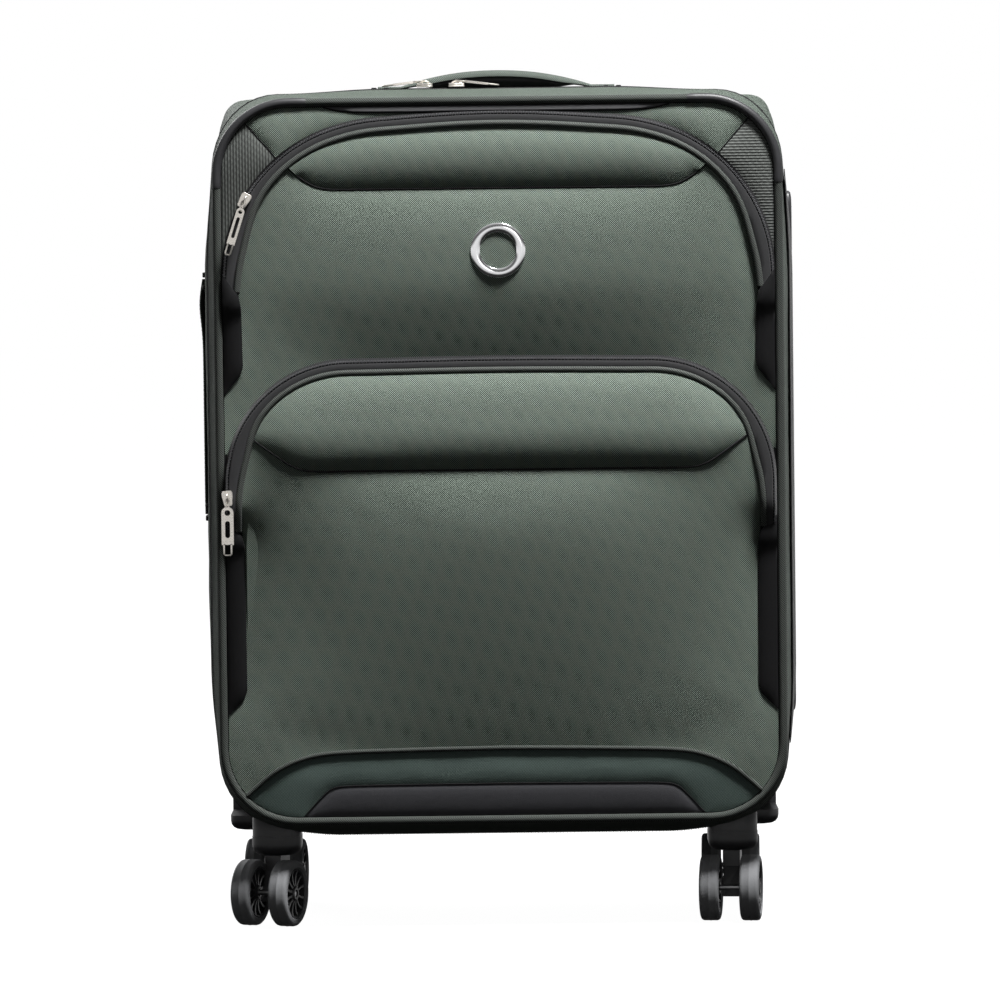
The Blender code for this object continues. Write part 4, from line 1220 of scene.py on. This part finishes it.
def make_arch_zips():
    make_arch_zip("upper_zip", UPPER_ARCH, UPPER_FOOT, board_depth, level(-0.1212), level(-0.1214),
                  "upper_pocket_zip")

    def coil_front(z):
        return -0.1218 - 0.0096 * ease((z - 0.306) / 0.026)

    def cord_front(z):
        return -0.1214 - foot_depth(z)

    make_arch_zip("lower_zip", LOWER_ARCH, LOWER_FOOT, level(-0.1158), coil_front, cord_front,
                  "lower_pocket_zip")


def make_emblem():
    """A plain chrome ring with a rolled face, a bevel inside it and a dark seat."""
    low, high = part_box("emblem_ring")
    centre = ((low.x + high.x) / 2, 0.0, (low.z + high.z) / 2)
    outer = (high.x - low.x) / 2
    inner = 0.0139
    front, back = low.y - 0.0006, high.y + 0.0008
    middle, half = (inner + outer) / 2, (outer - inner) / 2
    face = [(back, inner)]
    for i in range(15):
        t = math.pi * i / 14
        face.append((front + 0.0016 * (1 - math.sin(t) ** 0.8), middle - half * math.cos(t)))
    face.append((back, outer))
    ring = Shape().loft(lathe(face, centre, (0, 1, 0), 96), closed=True)
    ring.piece("emblem", "chrome", "lid", "emblem_ring", sharp=60)
    seat = [(back + 0.0020, inner - 0.0004), (back + 0.0003, inner - 0.0004), (back + 0.0003, outer + 0.0004),
            (back + 0.0022, outer + 0.0004)]
    Shape().loft(lathe(seat, centre, (0, 1, 0), 64), closed=True).piece("emblem_seat", "black_plastic", "lid")


# ---------------------------------------------------------------- zip sliders and pulls
def plate(loops, thickness):
    """A flat plate with holes. The first loop is its outline. Returns local vertices and faces."""
    flat, edges = [], []
    for loop in loops:
        base = len(flat)
        flat += [Vector(p) for p in loop]
        edges += [(base + i, base + (i + 1) % len(loop)) for i in range(len(loop))]
    verts, _, faces, _, _, _ = delaunay_2d_cdt(flat, edges, [], 0, 1e-8)
    points = np.array([tuple(v) for v in verts])
    keep = []
    for face in faces:
        middle = points[list(face)].mean(0)[None]
        inside = [edge_distance(middle, loop)[1][0] for loop in loops]
        if inside[0] and not any(inside[1:]):
            keep.append(list(face))
    count = len(points)
    top = [(x, y, thickness / 2) for x, y in points]
    bottom = [(x, y, -thickness / 2) for x, y in points]
    edge = {}
    for face in keep:
        for a, b in zip(face, face[1:] + face[:1]):
            edge[(a, b)] = True
    sides = [[b, a, a + count, b + count] for a, b in edge if (b, a) not in edge]
    faces = keep + [[i + count for i in reversed(f)] for f in keep] + sides
    return top + bottom, faces


def placed(verts, centre, axes):
    a, b, c = (Vector(axis) for axis in axes)
    return [Vector(centre) + a * x + b * y + c * z for x, y, z in verts]


def round_slot(low, high, half_width, count=8):
    """A slot's outline along x, with round ends."""
    points = []
    for i in range(count + 1):
        turn = math.pi * (i / count - 0.5)
        points.append((high - half_width + half_width * math.cos(turn), half_width * math.sin(turn)))
    for i in range(count + 1):
        turn = math.pi * (i / count + 0.5)
        points.append((low + half_width + half_width * math.cos(turn), half_width * math.sin(turn)))
    return points


def soften(piece, width, segments=2):
    modifier = piece.modifiers.new("rounded_edges", "BEVEL")
    modifier.width = width
    modifier.segments = segments
    modifier.limit_method = "ANGLE"
    modifier.angle_limit = math.radians(38)
    modifier.harden_normals = True


def make_pull(name, node, hinge, down, outward, half_width, length):
    """A die-cast pull: a plate with an eye and a long slot, on a wire link, and a round end bar."""
    across = Vector(down).cross(Vector(outward))
    axes = (down, across, outward)
    w = half_width
    outer = round_slot(0.0062, length - 0.0082, w, 10)
    body_loop = []
    for x, y in outer:
        if x > length * 0.5:
            x = min(x, length - 0.0082) if abs(y) < w * 0.7 else length - 0.0082
        body_loop.append((x, y))
    eye = [(0.0062 + w + 0.30 * w * math.cos(t) * 1.6, 0.48 * w * math.sin(t))
           for t in np.linspace(0, 2 * math.pi, 14, endpoint=False)]
    slot = round_slot(0.0062 + 2.35 * w, length - 0.0135, w * 0.40)
    verts, faces = plate([body_loop, eye, slot], 0.0017)
    shape = Shape().add(placed(verts, hinge, axes), faces)
    # The end link: a bar that turns round the plate's foot.
    end = length - 0.0084
    link = [(end, -w * 0.62), (length - 0.0012, -w * 0.62), (length, -w * 0.45), (length, w * 0.45),
            (length - 0.0012, w * 0.62), (end, w * 0.62)]
    path = [Vector(hinge) + Vector(down) * a + across * b for a, b in link]
    shape.sweep(path, outward, circle(0.0007))
    shape.piece(name, "zip_metal", node, node, sharp=35)
    # The link that joins the plate to the slider's bridge.
    path = [(-0.0006, 0.0), (0.0016, -0.0013), (0.0052, -0.0015), (0.0086, -0.0004), (0.0086, 0.0004),
            (0.0052, 0.0015), (0.0016, 0.0013)]
    path = [Vector(hinge) + Vector(down) * a + across * b for a, b in path]
    link = Shape().sweep(path, outward, circle(0.0006), closed=True)
    link.piece(name + "_link", "zip_metal", node)


def make_slider(name, node, centre, along, outward, half_width=0.0042, half_length=0.0060):
    """A slider's wedge-shaped body with a raised bridge for its pull."""
    bridge_foot, bridge_rise = 0.0026, 0.0047 - 0.0026
    along, outward = Vector(along), Vector(outward)
    across = along.cross(outward)
    half = []
    for t, w in ((-1.0, 0.62), (-0.8, 0.80), (-0.3, 0.86), (0.2, 1.0), (0.75, 1.0), (1.0, 0.78)):
        half.append((t * half_length, w * half_width))
    loop = half + [(x, -y) for x, y in reversed(half)]
    shape = Shape()
    for low, high, grow in ((0.0, 0.0013, 1.0), (0.0016, 0.0030, 0.97)):
        verts, faces = plate([[(x * grow, y * grow) for x, y in loop]], high - low)
        middle = Vector(centre) + outward * (low + high) / 2
        shape.add(placed(verts, middle, (along, across, outward)), faces)
    arc = []
    for i in range(9):
        t = math.pi * i / 8
        lift = bridge_foot + bridge_rise * math.sin(t)
        arc.append(Vector(centre) + along * (0.0036 * math.cos(t)) + outward * lift)
    shape.sweep(arc, across, circle(0.0007))
    core = Vector(centre) + outward * 0.0015
    shape.blocks([core], [(along, across, outward)], (half_length * 0.7, half_width * 0.35, 0.0014))
    soften(shape.piece(name, "zip_metal", node, node, sharp=35), 0.0003)


def arc_place(arch, angle):
    """Where a slider stands on the left arc of an arch's coil, and the coil's direction there."""
    cx, cz, radius = arch
    radius += COIL_MIDDLE
    turn = math.radians(angle)
    return (-cx + radius * math.cos(turn), cz + radius * math.sin(turn)), (math.sin(turn), -math.cos(turn))


def make_zip_hardware():
    out = (0, -1, 0)
    for name, arch, angle, lean, width in (
        ("upper_zip", UPPER_ARCH, 149.6, 17.8, 0.0032), ("lower_zip", LOWER_ARCH, 186.0, 0.0, 0.0047)
    ):
        (x, z), (ax, az) = arc_place(arch, angle)
        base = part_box(name + "_slider")[1].y + 0.0001
        make_slider(name + "_head", name + "_slider", (x, base, z), (ax, 0, az), out)
        low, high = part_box(name + "_pull")
        turn = math.radians(lean)
        down = (-math.sin(turn), 0, -math.cos(turn))
        make_pull(name + "_tab", name + "_pull", (x, (low.y + high.y) / 2, z), down, out, width, 0.0440)
    lean = 0.12         # radians that the main zip's pulls hang below the level
    for side, sign, x in (("left", -1, -0.0560), ("right", 1, -0.0310)):
        name = "main_" + side
        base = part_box(name + "_slider")[0].z + 0.0001
        make_slider(name + "_head", name + "_slider", (x, ZIP_Y, base), (-sign, 0, 0), (0, 0, 1), 0.0044, 0.0062)
        low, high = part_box(name + "_pull")
        down = (sign * math.cos(lean), 0, -math.sin(lean))
        outward = (sign * math.sin(lean), 0, math.cos(lean))
        make_pull(name + "_tab", name + "_pull", (x, ZIP_Y, (low.z + high.z) / 2), down, outward, 0.0034, 0.0330)


# ---------------------------------------------------------------- carry handles
def make_handle(name, node, place, top_of, thick_of, pad_and_shade_of, half=0.0150):
    """A padded strap handle: a twill skin over a black pad, with webbing legs down into the case.

    place maps (along, across, height) to a point. top_of gives the skin's height above the case
    along it, thick_of the skin's thickness, and pad_and_shade_of how far the black pad hangs below the skin:
    partly the real pad, partly painted shade filling the gap under the handle.
    """
    skin_rows, pad_and_shade_rows = [], []
    arc = [(-1.0, 0.0), (-0.98, 0.42), (-0.84, 0.78), (-0.5, 0.95), (0, 1.0), (0.5, 0.95), (0.84, 0.78),
           (0.98, 0.42), (1.0, 0.0)]
    for s in np.linspace(-1, 1, 73):
        along = s * (HANDLE_HALF + 0.0005)
        wide = half * (1 - 0.20 * abs(s) ** 6)
        thick = thick_of(s)
        low = top_of(s) - thick
        outer = [(along, a * wide, low + thick * h) for a, h in arc]
        lower = [(along, a * wide * 0.95, low + thick * h * 0.86 - 0.0001) for a, h in reversed(arc)]
        skin_rows.append([place(*p) for p in outer + lower])
        # The black pad hangs into the gap below the skin: partly real pad, partly painted shade of that gap.
        hang = pad_and_shade_of(s)
        core = [(along, a * wide * 0.94, low + thick * h * 0.80 - 0.0002) for a, h in arc]
        core += [(along, a * wide * w, low - hang * d) for a, w, d in
                 ((0.96, 1.0, 0.45), (0.80, 1.0, 0.85), (0.4, 1.0, 1.0), (-0.4, 1.0, 1.0), (-0.80, 1.0, 0.85),
                  (-0.96, 1.0, 0.45))]
        pad_and_shade_rows.append([place(*p) for p in core])
    Shape().loft(skin_rows).piece(name + "_skin", "handle_fabric", node, node, sharp=60)
    Shape().loft(pad_and_shade_rows).piece(name + "_pad_and_shade", "black_fabric", node, sharp=60)
    legs = Shape()
    for sign in (-1, 1):
        x = sign * LEG_REACH
        rows = []
        for h in np.linspace(-0.0235, top_of(sign) - 0.0006, 8):
            ring = [(x - 0.0011, -0.0108), (x + 0.0011, -0.0108), (x + 0.0011, 0.0108), (x - 0.0011, 0.0108)]
            rows.append([place(a, b, h) for a, b in ring])
        legs.loft(rows)
    legs.piece(name + "_legs", "webbing", node)
    up = Vector(place(0, 0, 1)) - Vector(place(0, 0, 0))
    reach = 0.93        # share of the handle's length that is stitched
    for word, sign in (("front", -1), ("rear", 1)):
        line = [place(s * HANDLE_HALF * reach, sign * half * 0.70,
                      top_of(s * reach) - 0.10 * thick_of(s * reach) - 0.0003)
                for s in np.linspace(-1, 1, 60)]
        stitches(name + "_stitching_" + word, line, tuple(up), node)


def make_handles():
    panel_top = outline(TOP_HANDLE_Y)[2]
    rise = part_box("top_handle")[1].z - panel_top

    def place_top(along, across, height):
        return (along, TOP_HANDLE_Y + across, panel_top + height)

    def top_skin(s):
        return max(rise - 0.0133 * (abs(s) * HANDLE_HALF / 0.078) ** 2.15, 0.0021)

    make_handle(
        "top_grip", "top_handle", place_top, top_skin,
        lambda s: 0.0052 - 0.0034 * float(ease((abs(s) - 0.50) / 0.34)),
        # How far the black pad fills the gap under the grip: a real black pad, and painted shade of the gap.
        lambda s: 0.0002 + min(0.0082, max(0.0, top_skin(s) - 0.0062)) * (abs(s) < 0.80),
    )

    side = outline(SIDE_HANDLE_Y)[0]
    bulge = -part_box("side_handle")[0].x - side

    def place_side(along, across, height):
        return (-side - height, SIDE_HANDLE_Y + across, SIDE_HANDLE_Z + along)

    def side_skin(s):
        return 0.0019 + (bulge - 0.0019) * math.exp(-(((s - 0.80) / 0.22) ** 2)) * (1 - abs(s) ** 12)

    make_handle("side_grip", "side_handle", place_side, side_skin,
                lambda s: 0.0016, lambda s: max(0.0002, side_skin(s) - 0.0006))


# ---------------------------------------------------------------- casters
def make_wheel(corner, side):
    node = corner + "_" + side + "_wheel"
    low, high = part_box(node)
    centre = (low + high) / 2
    low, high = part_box(corner + "_" + ("outer" if side == "inner" else "inner") + "_wheel")
    axle = ((low + high) / 2 - centre).normalized()
    half, radius = 0.00775, 0.0259
    tread = [(-half + 0.0012, 0.0196), (-half, 0.0206), (-half, 0.0232), (-half + 0.0005, 0.0246),
             (-half + 0.0014, 0.0255), (-half + 0.0028, radius), (-0.0005, radius), (-0.0003, radius + 0.00018),
             (0.0003, radius + 0.00018), (0.0005, radius), (half - 0.0028, radius), (half - 0.0014, 0.0255),
             (half - 0.0005, 0.0246), (half, 0.0232), (half, 0.0206), (half - 0.0012, 0.0196)]
    tyre = Shape().loft(lathe(tread, centre, axle, 72), closed=True)
    tyre.piece(corner + "_" + side + "_tyre", "wheel_tread", node, node, sharp=50)
    rim = [(-half + 0.0012, 0.0196), (-half + 0.0006, 0.0190), (-half + 0.0012, 0.0180), (-0.0016, 0.0176),
           (0.0016, 0.0176), (half - 0.0012, 0.0180), (half - 0.0006, 0.0190), (half - 0.0012, 0.0196)]
    hub = Shape().loft(lathe(rim, centre, axle, 72), closed=True)
    web = [(-0.0010, 0.0030), (-0.0010, 0.0178), (0.0010, 0.0178), (0.0010, 0.0030)]
    hub.loft(lathe(web, centre, axle, 48), closed=True)
    boss = [(-half + 0.0006, 0.0030), (-half + 0.0006, 0.0048), (-half + 0.0016, 0.0060), (half - 0.0016, 0.0060),
            (half - 0.0006, 0.0048), (half - 0.0006, 0.0030)]
    hub.loft(lathe(boss, centre, axle, 32), closed=True)
    first = Vector(axle).orthogonal().normalized()
    second = Vector(axle).cross(first)
    for i in range(12):
        turn = 2 * math.pi * i / 12
        radial = first * math.cos(turn) + second * math.sin(turn)
        tangent = Vector(axle).cross(radial)
        rows = []
        for r, wide, face in ((0.0052, 0.0011, half - 0.0016), (0.010, 0.0008, half - 0.0026),
                              (0.0150, 0.0008, half - 0.0026), (0.0182, 0.0012, half - 0.0014)):
            ring = [(-wide, -face), (wide, -face), (wide, face), (-wide, face)]
            rows.append([centre + radial * r + tangent * a + axle * b for a, b in ring])
        hub.loft(rows)
    hub.piece(corner + "_" + side + "_hub", "caster_plastic", node, sharp=35)


def rounded_square(half, radius, steps=7):
    points = []
    for corner in range(4):
        sx, sy = ((1, 1), (-1, 1), (-1, -1), (1, -1))[corner]
        for i in range(steps):
            turn = math.radians(90 * (corner + i / (steps - 1)))
            points.append((sx * (half - radius) + radius * math.cos(turn), sy * (half - radius) +
                           radius * math.sin(turn)))
    return points


def rounded_rectangle(half_x, half_y, radius):
    """A rounded square drawn out to a rectangle, its corners with it."""
    return [(x * half_x / 0.02, y * half_y / 0.02) for x, y in rounded_square(0.02, radius)]


def add_cup(shape, cx, cy, tops, foot):
    """The cup that holds a caster, with straight sides through the heights in tops."""
    rows = [(z, 0.0196) for z in tops]
    rows += [(0.0618, 0.0195), (0.0596, 0.0190), (0.0577, 0.0180), (0.0560, 0.0164), (0.0548, 0.0142),
             (foot, 0.0118), (foot, 0.0060)]
    shape.loft([[(cx + x, cy + y, z) for x, y in rounded_square(half, min(half * 0.98, 0.0110))]
                for z, half in rows])


def make_front_cup(corner):
    """The housing over a front caster: its cup, and a block that goes on up behind the lid."""
    low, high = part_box(corner + "_housing")
    cx, cy = (low.x + high.x) / 2, (low.y + high.y) / 2
    shape = Shape()
    add_cup(shape, cx, cy, (high.z, 0.0640), low.z)
    front, back = cy - 0.0193, -0.0485
    upper = []
    for z, grow in ((0.0625, 0.90), (0.0640, 0.98), (0.0660, 1.0), (0.0840, 1.0), (0.0860, 0.94)):
        upper.append([(cx + x * grow, (front + back) / 2 + y * grow * (back - front) / 0.0386, z)
                      for x, y in rounded_square(0.0193, 0.0110)])
    shape.loft(upper)
    shape.piece(corner + "_cup", "caster_plastic", "case", corner + "_housing", sharp=45)


def make_rear_guard(corner):
    """A moulded corner guard round the foot of the back, with the cup that holds the caster."""
    low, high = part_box(corner + "_housing")
    sign = 1 if corner.endswith("right") else -1
    shape = Shape()
    add_cup(shape, sign * CASTER_X, REAR_CASTER_Y, (0.0725,), low.z)
    inner, outer = 0.158, 0.2244
    middle_x, half_x = (inner + outer) / 2, (outer - inner) / 2
    front, back = 0.0800, high.y
    middle_y, half_y = (front + back) / 2, (back - front) / 2
    base = []
    for z, draw in ((0.0705, 0.0004), (0.0660, 0.0004), (0.0630, 0.0010), (0.0606, 0.0026), (0.0590, 0.0052),
                    (0.0582, 0.0090), (0.0582, 0.0130)):
        base.append([(sign * (middle_x + x), middle_y + y, z)
                     for x, y in rounded_rectangle(half_x - draw, half_y - draw, 0.0055)])
    shape.loft(base)
    # The upright part, outside the back.
    foot = 0.0600
    half_z = (high.z - foot) / 2
    face = []
    for y, draw in ((0.1386, 0.0), (back - 0.0020, 0.0), (back - 0.0006, 0.0010), (back, 0.0028)):
        face.append([(sign * (middle_x + x), y, foot + half_z + z)
                     for x, z in rounded_rectangle(half_x - draw, half_z - draw, 0.0065)])
    shape.loft(face)
    for i in range(3):
        z = high.z - 0.0120 - i * 0.0060
        bar = [(sign * (middle_x - 0.016), back - 0.0004, z), (sign * (middle_x + 0.016), back - 0.0004, z)]
        shape.sweep(even_line(bar, 0.004), (0, 1, 0), circle(0.0009))
    shape.piece(corner + "_guard", "caster_plastic", "case", corner + "_housing", sharp=45)


def make_casters():
    for corner in CORNERS:
        for side in ("inner", "outer"):
            make_wheel(corner, side)
        soften(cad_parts[corner + "_fork"], 0.0012, 3)
        if corner.startswith("front"):
            make_front_cup(corner)
        else:
            make_rear_guard(corner)


# ---------------------------------------------------------------- inside
def make_packing_straps():
    """The padded lining of the back, and two webbing straps with a buckle that cross in front of it."""
    low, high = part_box("back_lining")
    middle, half = (low + high) / 2, (high - low) / 2
    edge = [(middle.x + px / 0.02 * half.x, middle.z + pz / 0.02 * half.z) for px, pz in rounded_square(0.02, 0.0012)]
    panel("inner_back", edge, level(low.y + 0.0030), 0.0024, 0.014, "lining", "case",
          "back_lining", spacing=0.008, back=0.0040, crease=0.0008, fill=0.4)
    y = 0.0895
    webbing = [(-0.0125, -0.0006), (0.0125, -0.0006), (0.0125, 0.0006), (-0.0125, 0.0006)]
    shape = Shape()
    for sign in (-1, 1):
        low_end, low_bend, low_middle = (0.200, y, 0.150), (0.100, y - 0.001, 0.262), (0.004, y - 0.0022, 0.362)
        top_middle, top_bend, top_end = (0.004, y - 0.0022, 0.374), (0.100, y - 0.001, 0.474), (0.200, y, 0.590)
        for run in ((low_end, low_bend, low_middle), (top_middle, top_bend, top_end)):
            shape.sweep(smooth_line([(sign * px, py, pz) for px, py, pz in run], 0.01), (0, -1, 0), webbing)
    shape.piece("packing_straps", "webbing", "case")
    sections = []
    for h, half_x, half_z in ((0.0, 0.0190, 0.0260), (0.0030, 0.0200, 0.0270), (0.0070, 0.0190, 0.0260),
                              (0.0085, 0.0165, 0.0235)):
        sections.append([(px, y - 0.0015 - h, 0.368 + pz) for px, pz in rounded_rectangle(half_x, half_z, 0.006)])
    Shape().loft(sections).piece("strap_buckle", "black_plastic", "case")


# ---------------------------------------------------------------- patches and feet
def make_patches():
    """Flat stitched patches where the carry handles' webbing goes in."""
    top, side = outline(TOP_HANDLE_Y)[2], outline(SIDE_HANDLE_Y)[0]
    for sign, end, word in ((-1, "left", "lower"), (1, "right", "upper")):
        reach = sign * LEG_REACH
        for name, node, place in (
            ("top_patch_" + end, "top_anchor_" + end, lambda a, b, h: (reach + a, TOP_HANDLE_Y + b, top + h)),
            ("side_patch_" + word, "side_anchor_" + word,
             lambda a, b, h: (-side - h, SIDE_HANDLE_Y + b, SIDE_HANDLE_Z + reach + a)),
        ):
            shape = Shape()
            for lean in (-1, 1):
                sections = []
                for h, grow in ((-0.0014, 1.0), (0.0005, 1.0), (0.0011, 0.90), (0.0012, 0.7)):
                    ring = [(u * grow * 0.105, v * grow * 0.82) for u, v in rounded_square(0.02, 0.007)]
                    sections.append([place(lean * 0.0050 + u, v, h) for u, v in ring])
                shape.loft(sections)
            shape.piece(name, "black_fabric", "case", node)


def make_feet():
    """Moulded feet on the right-hand side, on which the case rests when it lies down."""
    for name in ("lower", "upper"):
        low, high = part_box("side_foot_" + name)
        middle, half = (low + high) / 2, (high - low) / 2
        sections = []
        for x, grow in ((low.x - 0.0040, 1.0), (high.x - 0.0020, 1.0), (high.x - 0.0006, 0.95), (high.x, 0.84)):
            ring = [(u / 0.02 * half.y * grow, v / 0.02 * half.z * grow) for u, v in rounded_square(0.02, 0.012)]
            sections.append([(x, middle.y + u, middle.z + v) for u, v in ring])
        shape = Shape().loft(sections)
        for i in range(-2, 3):
            z = middle.z + i * 0.0085
            ridge = [(high.x - 0.0012, middle.y - half.y * 0.6, z), (high.x - 0.0005, middle.y - half.y * 0.5, z),
                     (high.x - 0.0005, middle.y + half.y * 0.5, z), (high.x - 0.0012, middle.y + half.y * 0.6, z)]
            shape.sweep(ridge, (0, 0, 1), circle(0.0009))
        shape.piece("foot_" + name, "black_plastic", "case", "side_foot_" + name)


# ---------------------------------------------------------------- carried-over CAD nodes
def dress_nodes():
    """Materials of the CAD nodes that still show."""
    kept = {
        "black_plastic": ["handle_bezel", "grip"],
        "button_plastic": ["grip_button"],
        "aluminium": ["outer_tube_left", "outer_tube_right", "inner_tube_left", "inner_tube_right"],
        "caster_plastic": [corner + "_fork" for corner in CORNERS],
        "steel": [corner + "_axle" for corner in CORNERS],
    }
    for material, names in kept.items():
        for name in names:
            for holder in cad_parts[name].material_slots:
                holder.material = MATERIALS[material]


make_camera()
make_studio()
make_case()
make_hinge()
make_back()
make_lid_frame()
make_front_fabric()
make_arch_zips()
make_emblem()
make_zip_hardware()
make_handles()
make_casters()
make_packing_straps()
make_patches()
make_feet()
dress_nodes()
